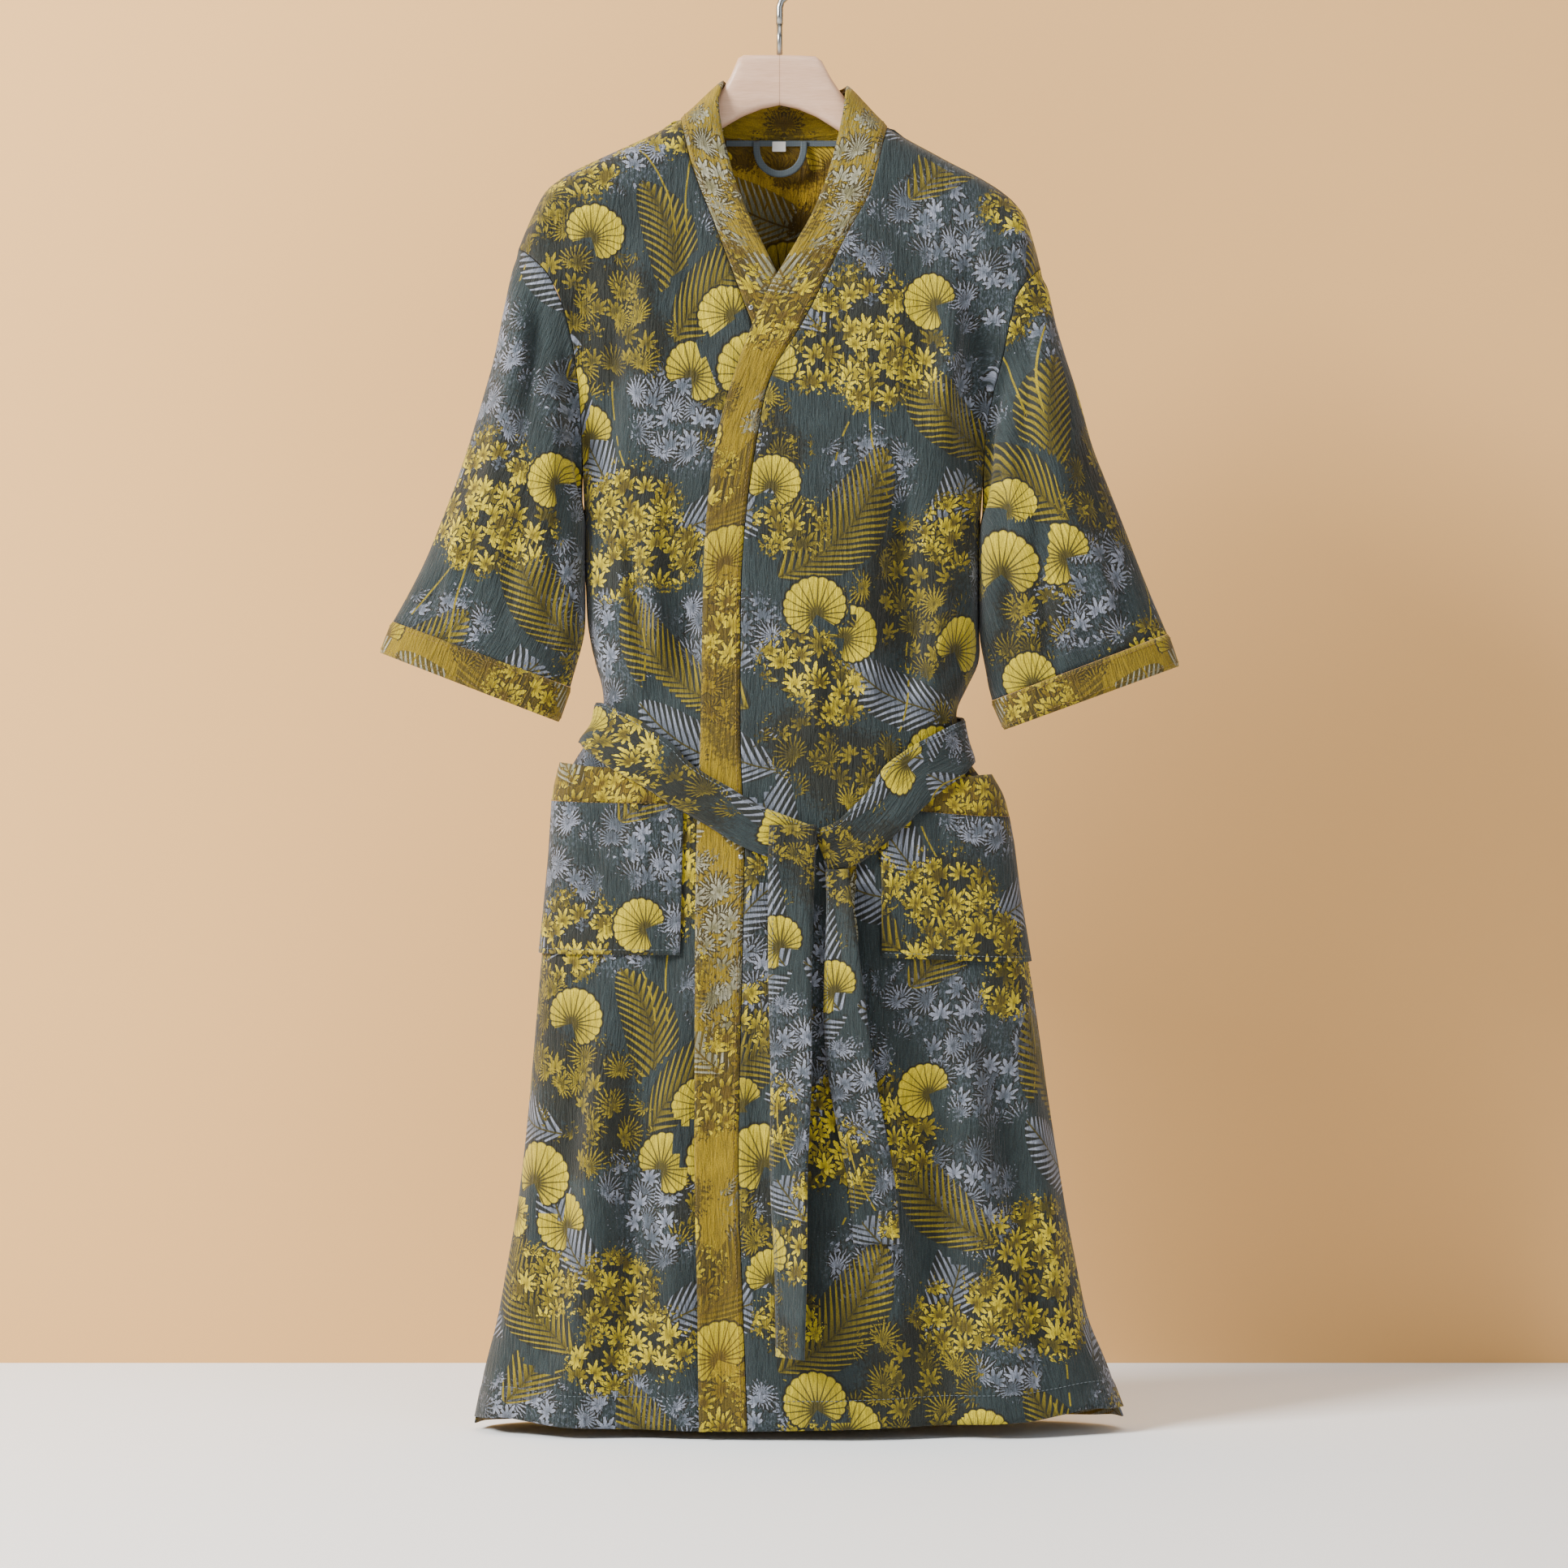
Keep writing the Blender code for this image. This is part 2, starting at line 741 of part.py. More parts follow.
def sleeve_ring(source, step):
    """One ring of a sleeve, from the outer line round the front to the underarm and back."""
    outer = np.array([float(read(source, "outer_x", step)), float(read(source, "outer_z", step))])
    inner = np.array([float(read(source, "inner_x", step)), float(read(source, "inner_z", step))])
    deep = float(read(source, "half_depth", step))
    ring = []
    for k in range(2 * ARMHOLE_STEPS):
        angle = math.pi * k / ARMHOLE_STEPS
        c, s = math.cos(angle), math.sin(angle)
        middle = (outer + inner) / 2 + (outer - inner) / 2 * math.copysign(abs(c) ** 0.9, c)
        y = -deep * math.copysign(abs(s) ** 0.8, s)
        ring.append((middle[0], y, middle[1]))
    return np.array(ring)


def armhole_ring(hole, way):
    """The sleeve's own edge just outside the body's armhole, and a first short step of cloth from it."""
    edge, step = [], []
    for k in range(2 * ARMHOLE_STEPS):
        share = k / ARMHOLE_STEPS if k <= ARMHOLE_STEPS else 2 - k / ARMHOLE_STEPS
        x, y, z = armhole_point(hole, share)
        y = -y if k <= ARMHOLE_STEPS else y
        s = math.sin(math.pi * share)
        go = np.array([way * (1.0 + 4.5 * s), 0.0, -(0.6 + 4.6 * (1 - s))])
        under = np.array([way * 2.5 * float(ease((share - 0.6) / 0.3)), 0.0, 0.0])
        start = np.array([x, y, z]) + go / np.linalg.norm(go) * (SEAM_GAP + 0.4) + under
        edge.append(start)
        step.append(start + go)
    return np.array(edge), np.array(step)


def sleeve_parts(hand):
    """Rings of the sleeve and of its cuff."""
    source, hole = (SLEEVE_RIGHT, ARMHOLE_RIGHT) if hand == "right" else (SLEEVE_LEFT, ARMHOLE_LEFT)
    way = -1 if hand == "right" else 1
    rings = list(armhole_ring(hole, way))
    rings += [sleeve_ring(source, step) for step in source["step"][:-1]]
    end = sleeve_ring(source, source["step"][-1])
    seam = rings[-1]
    cuff = [seam + (end - seam) * share for share in (SEAM_GAP / CUFF_WIDTH, 0.5, 1.0)]
    return np.array(rings), np.array(cuff)


def belt_round():
    """The belt from one side of the knot round the back to the other side."""
    angles = np.linspace(BELT_START, BELT_START - 359, BELT_STATIONS + 1)
    angles = np.where(angles < -180, angles + 360, angles)
    middle = [body_frame(a, float(read(BELT_LINE, "z", a))) for a in angles]
    places = np.array([m[0] for m in middle])
    rows = []
    for i, (place, out, per_degree) in enumerate(middle):
        along = places[min(i + 1, len(places) - 1)] - places[max(i - 1, 0)]
        level = np.array([out[0], out[1], 0.0]) / math.hypot(out[0], out[1])
        up = np.cross(along, level)
        up /= np.linalg.norm(up)
        up = up if up[2] > 0 else -up
        right = np.array([-level[1], level[0], 0.0])
        row = []
        for w in np.linspace(-BELT_WIDTH / 2, BELT_WIDTH / 2, 4):
            turn = float(np.dot(up * w, right)) / per_degree
            point, way, _ = body_frame(angles[i] + turn, place[2] + up[2] * w)
            row.append(point + way * BELT_OFFSET)
        rows.append(row)
    return np.array(rows)


def belt_tail(tail, count):
    """A free end of the belt hanging before the front, turned about its own length."""
    rows = []
    for z in np.linspace(tail["z"][-1], tail["z"][0], count):
        x, width = float(read(tail, "x", z)), float(read(tail, "width", z))
        turn, lift = math.radians(float(read(tail, "turn", z))), float(read(tail, "lift", z))
        face = float(depth_at("front", np.array(x), np.array(z), sides_at(z))) + lift
        row = []
        for w in np.linspace(-1, 1, 4):
            forward = (w + 1) * width / 2 * math.tan(turn) * 0.9 + TAIL_BOW * (1 - w * w)
            row.append((x + w * width / 2, -face - forward, z))
        rows.append(row)
    return np.array(rows)


def inside_back(x, z, stand):
    """The y of a place inside the back neck, at a distance before the back's middle surface."""
    return depth_at("back", np.asarray(x, float), np.asarray(z, float), row_sides(3)) - stand


def hanging_loop():
    """A narrow strip hanging in a bow inside the back neck."""
    half_wide, drop, strip, stand = 24.5, 33.0, 6.0, 6.0
    face = float(inside_back(0.0, -170.0, LOOP_STAND))
    rows = []
    for angle in np.linspace(0, math.pi, 13):
        c, s = math.cos(angle), math.sin(angle) ** 0.75
        rows.append(
            [
                (0.5 - (half_wide - strip + w) * c, face - stand * s, -169.5 - (drop - strip + w) * s)
                for w in (0.0, strip / 2, strip)
            ]
        )
    return np.array(rows)


def inside_strip(x, z, stand, width, height, columns):
    """An upright strip that follows the curve of the back neck."""
    rows = []
    for level in (z, z - height):
        across = np.linspace(x - width / 2, x + width / 2, columns)
        face = inside_back(across, np.full(columns, z), stand)
        rows.append(np.stack([across, face, np.full(columns, level)], axis=1))
    return np.array(rows)


HANGER_STATIONS = (
    -ARM_END, -203, -190, -165, -135, -110, -88, -70, -56, -50, -44, -37, -32, -16, 0,
    16, 32, 38, 46, 54, 68, 86, 98, 114, 138, 165, 190, 203, ARM_END,
)


def hanger_body():
    """Sections of the hanger from end to end, as rounded uprights."""
    rings = []
    for x in HANGER_STATIONS:
        inside = HANGER_TOPLINE["x"][0] <= x <= HANGER_TOPLINE["x"][-1]
        top = float(read(HANGER_TOPLINE, "z", x)) if inside else float(read(SHOULDER, "z", x)) - 1.6
        low, half = float(read(HANGER_BOTTOM, "z", x)), float(read(HANGER_SECTION, "half", x))
        blunt = float(read(HANGER_SECTION, "bluntness", x))
        tip = 0.72 if abs(x) == ARM_END else 1.0
        top -= 1.2 * float(ease((abs(x) - 170) / 25))
        middle, tall = (top + low) / 2, (top - low) / 2 * tip
        half *= tip
        ring = []
        for k in range(16):
            angle = 2 * math.pi * k / 16
            c, s = math.cos(angle), math.sin(angle)
            upright = math.copysign(abs(s) ** blunt, s)
            ring.append((x, half * math.copysign(abs(c) ** blunt, c), middle + tall * upright))
        rings.append(ring)
    return np.array(rings)


def closed_loft(name, rings, finish, collection):
    """A solid through closed rings, with its two ends filled."""
    mesh = grid_mesh(name, rings, wraps=True)
    count, last = rings.shape[1], (rings.shape[0] - 1) * rings.shape[1]
    points = (rings.reshape(-1, 3) * MM).tolist()
    faces = [tuple(p.vertices) for p in mesh.polygons]
    faces += [tuple(range(count - 1, -1, -1)), tuple(range(last, last + count))]
    mesh.clear_geometry()
    mesh.from_pydata(points, [], faces)
    mesh.update()
    return add_object(name, mesh, finish, collection)


def wire(name, points, diameter, finish, collection):
    """A round wire along points, as a poly curve with filled caps."""
    curve = bpy.data.curves.new(name, "CURVE")
    curve.dimensions = "3D"
    curve.bevel_depth = diameter / 2 * MM
    curve.bevel_resolution = 2
    curve.use_fill_caps = True
    line = curve.splines.new("POLY")
    line.points.add(len(points) - 1)
    for spot, place in zip(line.points, points):
        spot.co = (*(np.array(place) * MM), 1.0)
    return add_object(name, curve, finish, collection)


def hook_line():
    """The hook's middle line: up the stem, out to one side and over to the tip."""
    reach = HOOK_RADIUS + WIRE / 2
    centre = -HOOK_RADIUS
    points = [(0, 0, -68.0), (0, 0, -60.0), (0, 0, -53.0), (1.6, 0, -47.5), (5.5, 0, -43.6), (9.5, 0, -41.4)]
    for degrees in np.linspace(-55, 200, 19):
        angle = math.radians(degrees)
        points.append((reach * math.cos(angle), 0, centre + reach * math.sin(angle)))
    return points


def stud(name, hand, x, z, sides, finish, collection):
    """A domed press stud seated on a front's band."""
    surface = float(depth_at("front", np.array(x), np.array(z), sides)) + float(lap_shift(hand, x))
    y = -surface - DOUBLED_CLOTH / 2 - SEAM_GAP
    profile = ((0.0, 1.6), (1.4, 1.4), (2.3, 0.8), (2.7, 0.0))
    rings = [
        [(x + r * math.cos(a), y - h, z + r * math.sin(a)) for a in np.linspace(0, 2 * math.pi, 12, endpoint=False)]
        for r, h in profile[:0:-1]
    ]
    return closed_loft(name, np.array(rings), finish, collection)


def build():
    clear_scene()
    robe = bpy.data.collections.new(COLLECTION)
    bpy.context.scene.collection.children.link(robe)
    face = material("woven_cotton_face", "5C676B", 0.85)
    reverse = material("woven_cotton_reverse", "A8871F", 0.85)
    wood = material("pale_wood", "DCC3AD", 0.5)
    steel = material("steel", "8D8F8D", 0.3, 1.0)
    tape = material("grey_tape", "7B8488", 0.8)
    white = material("white_label", "E9E9E6", 0.7)

    sheet("back", back_panel(), CLOTH, face, robe)
    for hand in ("right", "left"):
        sheet(f"front_{hand}", front_panel(hand), CLOTH, face, robe)
        sheet(f"band_{hand}", np.array(band_back(hand) + band_front(hand)), DOUBLED_CLOTH, reverse, robe)
        sleeve, cuff = sleeve_parts(hand)
        sheet(f"sleeve_{hand}", sleeve, CLOTH, face, robe, wraps=True)
        sheet(f"cuff_{hand}", cuff, DOUBLED_CLOTH, reverse, robe, wraps=True)
        pocket = pocket_parts(hand)
        sheet(f"pocket_{hand}", pocket["bag"], CLOTH, face, robe)
        sheet(f"pocket_band_{hand}", pocket["band"], CLOTH, reverse, robe)

    sheet("belt_round", belt_round(), DOUBLED_CLOTH, face, robe)
    sheet("belt_tail_long", belt_tail(TAIL_LONG, 20), DOUBLED_CLOTH, face, robe)
    sheet("belt_tail_short", belt_tail(TAIL_SHORT, 14), DOUBLED_CLOTH, face, robe)
    sheet("hanging_loop", hanging_loop(), 1.2, tape, robe)
    sheet("neck_tape", inside_strip(2.0, -168.5, TAPE_STAND, 100.0, 5.0, 9), 1.2, tape, robe)
    sheet("neck_label", inside_strip(-0.5, -169.5, LABEL_STAND, 12.0, 9.0, 3), 0.6, white, robe)
    stud("stud_neck", "right", -25.2, -326.0, row_sides(5), steel, robe)
    stud("stud_waist", "left", -34.0, -812.0, sides_at(-812.0), steel, robe)

    closed_loft("hanger", hanger_body(), wood, robe)
    wire("hanger_hook", hook_line(), WIRE, steel, robe)
    wire("hanger_pin", [(0, 0, -68.3), (0, 0, -80), (0, 0, HANGER_TOP - 0.1)], PIN, steel, robe)


build()
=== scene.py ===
"""The looks of a belted kimono robe on a wooden hanger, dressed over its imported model.

Each piece of cloth starts from the outside of its solid, with closer-spaced points, creases and stitching.
A double-gauze jacquard follows the cloth's own U and V, which are true lengths along it in metres.
"""

import math
from functools import partial

import bmesh
import bpy
import numpy as np
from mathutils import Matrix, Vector


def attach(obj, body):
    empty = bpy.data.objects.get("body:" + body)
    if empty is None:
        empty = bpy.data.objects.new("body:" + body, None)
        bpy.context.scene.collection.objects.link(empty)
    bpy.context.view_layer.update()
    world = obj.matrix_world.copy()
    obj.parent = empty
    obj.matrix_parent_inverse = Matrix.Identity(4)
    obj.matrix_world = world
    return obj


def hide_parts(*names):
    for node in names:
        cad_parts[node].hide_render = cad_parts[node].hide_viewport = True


bl_info = {
    "name": "Kimono robe on a hanger",
    "version": (1, 0, 0),
    "blender": (4, 5, 0),
    "location": "3D View > Sidebar > Robe",
    "description": "Dresses the packed robe and hanger in cloth, wood and steel",
    "category": "Object",
}

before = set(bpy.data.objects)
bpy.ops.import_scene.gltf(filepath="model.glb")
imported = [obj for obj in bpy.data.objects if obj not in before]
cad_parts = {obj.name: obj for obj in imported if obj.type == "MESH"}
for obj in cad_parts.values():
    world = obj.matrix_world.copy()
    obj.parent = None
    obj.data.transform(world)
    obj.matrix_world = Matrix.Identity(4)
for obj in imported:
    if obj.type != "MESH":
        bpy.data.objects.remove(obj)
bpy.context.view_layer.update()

MM = 0.001
# Metres to millimetres, for the sizes in the finishes
PER_METRE = (1000.0, 1000.0, 1000.0)

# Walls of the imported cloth
CLOTH = 1.6 * MM
DOUBLED = 2.4 * MM
TAPE = 1.2 * MM

# The turned-up hem's height in millimetres
HEM = 27
# How far a sleeve's inner side swells, and how far in from an edge its stitching runs
SWELL = 3.4 * MM
EDGE_INSET = 2.5 * MM
CUFF_INSETS = {"upper": 2.2 * MM, "lower": 26 * MM}
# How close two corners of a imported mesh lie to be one
SAME_PLACE = 1e-5

# Spacing of the points on the finished cloth
PANEL_CELL = 6.5 * MM
SMALL_CELL = 4.5 * MM

# Creases over the front view, in millimetres: side, first X and Z, last X and Z, half width and height.
# A height less than 0 is a trough. Side is f for the front, b for the back and a for all round.
BODY_CREASES = (
    ("f", -84, -470, -76, -690, 20, -7.0),
    ("f", -112, -430, -100, -660, 13, 4.6),
    ("f", 118, -430, 104, -690, 16, -5.0),
    ("f", -30, -880, -38, -1330, 22, -4.0),
    ("f", 44, -1000, 52, -1330, 20, 4.0),
    ("f", 132, -1000, 160, -1330, 20, -4.4),
    ("f", -150, -960, -176, -1330, 20, 4.0),
    ("f", -150, -470, -112, -665, 9, -4.0),
    ("f", -128, -520, -100, -668, 7, 3.0),
    ("f", -86, -585, -78, -668, 7, -3.0),
    ("f", -62, -600, -58, -676, 6, 2.4),
    ("f", 10, -610, 14, -735, 7, -1.6),
    ("f", 34, -600, 34, -715, 6, 2.4),
    ("f", 62, -590, 60, -700, 7, -1.5),
    ("f", 84, -610, 80, -690, 6, 2.6),
    ("f", 122, -540, 112, -690, 9, -3.6),
    ("f", 150, -560, 134, -690, 8, 3.0),
    ("f", 60, -250, 40, -430, 12, -1.5),
    ("f", 118, -260, 128, -440, 14, -3.6),
    ("f", 150, -300, 150, -470, 9, 3.4),
    ("f", -88, -240, -60, -380, 12, -3.2),
    ("f", -122, -250, -118, -420, 12, 3.4),
    ("f", -150, -320, -152, -500, 9, -3.6),
    ("f", -150, -712, -168, -880, 8, -3.0),
    ("f", -120, -712, -128, -900, 8, 3.0),
    ("f", -96, -716, -100, -960, 9, -3.6),
    ("f", -60, -742, -62, -1000, 10, 2.6),
    ("f", 60, -756, 72, -960, 9, -3.0),
    ("f", 100, -735, 118, -930, 8, 3.0),
    ("f", 130, -735, 158, -900, 8, -3.2),
    ("f", -176, -930, -206, -1290, 13, -4.8),
    ("f", -84, -900, -96, -1310, 13, 4.6),
    ("f", -120, -1040, -146, -1330, 11, -4.0),
    ("f", -6, -850, -10, -1300, 14, 2.2),
    ("f", 18, -900, 22, -1320, 12, -2.2),
    ("f", 92, -930, 104, -1320, 13, 4.6),
    ("f", 184, -940, 236, -1320, 13, -4.8),
    ("f", 206, -960, 262, -1310, 10, 3.6),
    ("b", -134, -560, -110, -690, 9, -3.2),
    ("b", -84, -590, -80, -690, 7, 2.8),
    ("b", -36, -560, -34, -694, 8, -2.8),
    ("b", 20, -570, 18, -694, 8, 2.6),
    ("b", 46, -590, 44, -694, 7, -2.6),
    ("b", 92, -560, 86, -690, 8, 2.8),
    ("b", 138, -560, 116, -690, 9, -3.2),
    ("b", -70, -210, -84, -360, 12, 2.4),
    ("b", 20, -240, 30, -420, 14, -2.2),
    ("b", 108, -230, 116, -400, 12, 2.4),
    ("b", -144, -716, -186, -1000, 9, -3.2),
    ("b", -88, -716, -118, -1100, 10, 3.2),
    ("b", -42, -716, -58, -1320, 12, -3.0),
    ("b", 8, -716, 12, -1320, 12, 3.0),
    ("b", 58, -716, 84, -1320, 12, -3.0),
    ("b", 100, -716, 150, -1100, 10, 3.2),
    ("b", 140, -716, 196, -1000, 9, -3.0),
    ("b", -190, -950, -226, -1320, 11, 3.0),
    ("b", 186, -950, 240, -1320, 11, 3.0),
)
SLEEVE_CREASES = (
    ("a", -214, -292, -226, -480, 9, -5.0),
    ("a", -232, -330, -262, -560, 10, 3.4),
    ("a", -196, -330, -200, -560, 8, 3.0),
    ("a", -190, -420, -206, -640, 9, -3.6),
    ("a", -222, -470, -252, -650, 10, -3.2),
    ("a", -262, -470, -306, -610, 10, 3.0),
    ("a", -238, -560, -262, -655, 8, 2.4),
    ("a", -284, -520, -318, -610, 9, -2.6),
    ("a", 214, -308, 224, -500, 9, -5.0),
    ("a", 234, -350, 262, -580, 10, 3.4),
    ("a", 198, -350, 202, -580, 8, 3.0),
    ("a", 192, -440, 208, -650, 9, -3.6),
    ("a", 222, -490, 250, -660, 10, -3.2),
    ("a", 262, -490, 304, -625, 10, 3.0),
    ("a", 240, -580, 262, -665, 8, 2.4),
    ("a", 286, -540, 316, -625, 9, -2.6),
)

# The woven design is a repeat of this width and height in millimetres, and every second column is dropped
TILE_WIDTH, TILE_HEIGHT, TILE_DROP = 344, 700, 330
# Where small pieces lie in the design, in metres of U and V
BAND_SHIFT, CUFF_SHIFT, POCKET_BAND_SHIFT = (0.015, 0.64), (0.0, -0.095), (0.0, -0.33)
BACK_SHIFT = (0.13, 0.26)
POCKET_SHIFTS = {"right": (0.236, 0.555), "left": (-0.265, 0.345)}
FAR = 9999.0
# Crowns of small leaves: U and V in the repeat and radius
YELLOW_CROWNS = (
    (-96, -92, 50), (-52, -122, 38), (-128, -140, 36), (-84, -160, 30),
    (74, -332, 46), (114, -364, 34), (36, -372, 32), (84, -392, 28),
    (-116, -500, 42), (-78, -540, 34), (-134, -560, 28),
    (20, -640, 34), (50, -668, 28), (150, -120, 34), (-10, -250, 34), (168, -520, 36), (10, -520, 30),
)
OLIVE_CROWNS = (
    (66, -40, 46), (24, -8, 36), (100, -78, 32), (-150, -318, 46), (-120, -352, 34), (-160, -372, 30),
    (126, -560, 50), (96, -598, 36), (150, -620, 34), (-30, -420, 34), (-4, -452, 28),
)
GREY_CROWNS = (
    (6, -196, 46), (44, -226, 36), (-30, -232, 32), (-66, -430, 44), (-96, -400, 30), (140, -236, 40),
    (160, -270, 30), (-30, -610, 36), (-164, -30, 40), (-150, -64, 30), (-146, -640, 40), (80, -470, 36),
    (-130, -190, 30), (60, -290, 34), (-116, -596, 32),
)
# Single motifs: U, V, length and turn in degrees. A frond has its bend too, and 1 for gold or -1 for grey,
# and a stem has its bend and half width.
FRONDS = (
    (128, -128, 150, 34, 0.5, 1), (158, -176, 128, -28, -0.4, 1), (86, -146, 118, 76, 0.4, -1),
    (-40, -300, 138, -52, 0.5, 1), (-92, -262, 116, 18, -0.4, 1), (2, -300, 124, 28, 0.4, -1),
    (62, -520, 150, -40, -0.5, 1), (20, -548, 126, 24, 0.4, 1), (-26, -506, 112, -74, 0.3, -1),
    (-60, -16, 120, 60, 0.4, -1), (-14, -64, 130, 12, 0.5, -1), (150, -420, 132, 48, 0.4, 1),
    (168, -486, 118, -18, -0.4, -1), (-84, -640, 136, 40, 0.5, 1), (-50, -676, 112, -30, -0.4, -1),
    (110, -672, 120, 66, 0.3, -1), (-170, -446, 118, 30, 0.4, -1), (-20, -150, 96, -46, 0.4, -1),
)
ROUND_LEAVES = (
    (-18, -372, 70, 24), (-62, -378, 62, -40), (-42, -330, 57, 78), (146, -20, 68, -20),
    (168, -62, 59, 42), (120, -58, 51, -74), (30, -586, 62, 14), (68, -612, 57, -52),
    (4, -100, 54, 40), (-160, -250, 59, -30), (130, -316, 54, 64), (-4, -476, 54, -18),
)
STEMS = (
    (-80, -206, 96, -6, 0.3, 0.06), (-100, -216, 80, 24, -0.3, 0.07), (82, -446, 90, 10, 0.3, 0.06),
    (60, -430, 74, -26, 0.3, 0.07), (-100, -610, 84, 8, -0.3, 0.06), (52, -112, 92, -14, 0.3, 0.06),
    (-142, -430, 80, 16, 0.3, 0.06), (122, -660, 84, -10, -0.3, 0.06), (10, -270, 70, 12, 0.3, 0.07),
)
# Half widths of a frond and of a round leaf as shares of their length
FROND_WIDTH, LEAF_WIDTH = 0.28, 0.56

# Pieces that keep their solid's shape, with their finish
TRIMS = (
    ("neck_tape", "cotton_tape"), ("neck_label", "woven_label"), ("hanger", "satin_lacquered_maple"),
    ("hanger_hook", "satin_plated_steel"), ("hanger_pin", "satin_plated_steel"),
    ("stud_neck", "satin_plated_steel"), ("stud_waist", "satin_plated_steel"),
)

# Colours, as sRGB hex
GROUND, OUTLINE = "253031", "1B1B10"
GREY_SHADE, GREY_LIT = "4E5660", "8A90A0"
OLIVE_SHADE, OLIVE_LIT = "423B08", "8A7A10"
YELLOW_SHADE, YELLOW = "544806", "CFBA1E"
GOLD, GOLD_SHADE, GOLD_PALE = "867002", "564404", "C2AC14"
GOLD_GREY, GOLD_MIST, GOLD_DARK = "6E6A4A", "9C9A84", "3A3008"
# The gold reverse on the inside of the body and sleeves, painted lighter than on the bands as painted light
# falling inside
INNER_LIT, INNER_LIT_SHADE, INNER_LIT_PALE, INNER_LIT_DARK = "B8941A", "7A5E0A", "D8B82A", "5A4406"
THREAD_GREY, THREAD_GREY_DARK = "5A646A", "59636A"
THREAD_GOLD, THREAD_GOLD_DARK = "8A6C1A", "6B5217"
TAPE_GREY, TAPE_DARK = "5E696E", "465057"
LABEL_WHITE, LABEL_DARK = "ECECE8", "CFCFCA"
WOOD_LIGHT, WOOD_DARK, WOOD_JOINT = "D6B094", "C79F82", "8E6C52"
STEEL = "9A9C9A"
WALL, FLOOR = "DDAC6C", "F8FCFF"


def linear(colour):
    """An sRGB hex colour as linear red, green, blue and alpha."""
    parts = [int(colour[i : i + 2], 16) / 255 for i in (0, 2, 4)]
    return (*(c / 12.92 if c <= 0.04045 else ((c + 0.055) / 1.055) ** 2.4 for c in parts), 1.0)


LEAFLET_GROUP = "leaflets"

# The setting that the second word of a node's kind stands for
CHOICES = {
    "Math": "operation", "VectorMath": "operation", "Mix": "data_type", "VectorRotate": "rotation_type",
}


def add(tree, kind, *feeds, out="", **settings):
    """A new node with its settings: feeds its open sockets in order, returns its named or first output."""
    kind, _, choice = kind.partition(" ")
    made = tree.nodes.new("ShaderNode" + kind)
    if choice:
        settings[CHOICES[kind]] = choice
    for name, value in settings.items():
        setattr(made, name, value)
    sockets = [socket for socket in made.inputs if socket.enabled]
    for socket, value in zip(sockets, feeds):
        if isinstance(value, bpy.types.NodeSocket):
            tree.links.new(value, socket)
        elif value is not None:
            socket.default_value = value
    return made.outputs[out] if out else next(socket for socket in made.outputs if socket.enabled)


def ease(t):
    """A soft step from 0 to 1."""
    t = np.clip(t, 0.0, 1.0)
    return t * t * (3 - 2 * t)


# The woven design


def in_tile(places, u, v):
    """Where each face's corners lie from one motif of the repeat, in its nearest copy."""
    middle = places.mean(axis=1)
    column = np.floor((middle[:, 0] - u) / TILE_WIDTH + 0.5)
    near_u = u + column * TILE_WIDTH
    drop = v + (column % 2) * TILE_DROP
    near_v = drop + np.round((middle[:, 1] - drop) / TILE_HEIGHT) * TILE_HEIGHT
    return places - np.stack([near_u, near_v], axis=1)[:, None, :]


def placed(places, table):
    """For each corner the X and Y in the motif that covers its face, and that motif's signed size."""
    found = np.full((*places.shape[:2], 3), FAR)
    found[:, :, 2] = 0.0
    free = np.ones(len(places), bool)
    for u, v, size, angle, bend, spread, sign in table:
        local = in_tile(places, u, v)
        turn = math.radians(angle)
        x = local[:, :, 0] * math.cos(turn) + local[:, :, 1] * math.sin(turn)
        y = local[:, :, 1] * math.cos(turn) - local[:, :, 0] * math.sin(turn)
        x = x - bend * size * (y / size) ** 2
        inside = (abs(x).max(axis=1) < spread * size) & (abs(y).max(axis=1) < 0.56 * size) & free
        found[inside] = np.stack([x, y, np.full_like(x, sign * size)], axis=2)[inside]
        free &= ~inside
    return found


def clumps(places, table):
    """How deep each corner lies in the nearest crown of leaves: 1 in its middle, 0 on its outline."""
    depth = np.full(places.shape[:2], -2.0)
    for u, v, size in table:
        depth = np.maximum(depth, 1 - np.linalg.norm(in_tile(places, u, v) * (1, 1.15), axis=2) / size)
    return depth


def layout(places):
    """The design's values at each face's corners, from their places on the cloth in millimetres."""
    tables = (YELLOW_CROWNS, OLIVE_CROWNS, GREY_CROWNS)
    crowns = np.stack([clumps(places, table) for table in tables], axis=2)
    fronds = [(*row[:5], FROND_WIDTH, row[5]) for row in FRONDS]
    leaves = [(*row, 0, LEAF_WIDTH, 1) for row in ROUND_LEAVES] + [(*row, -1) for row in STEMS]
    return {"crowns": crowns, "fronds": placed(places, fronds), "leaves": placed(places, leaves)}


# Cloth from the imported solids


def packed(node):
    """A CAD node's mesh with its corners joined, to be changed."""
    shell = bmesh.new()
    shell.from_mesh(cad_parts[node].data)
    bmesh.ops.remove_doubles(shell, verts=shell.verts, dist=SAME_PLACE)
    return shell


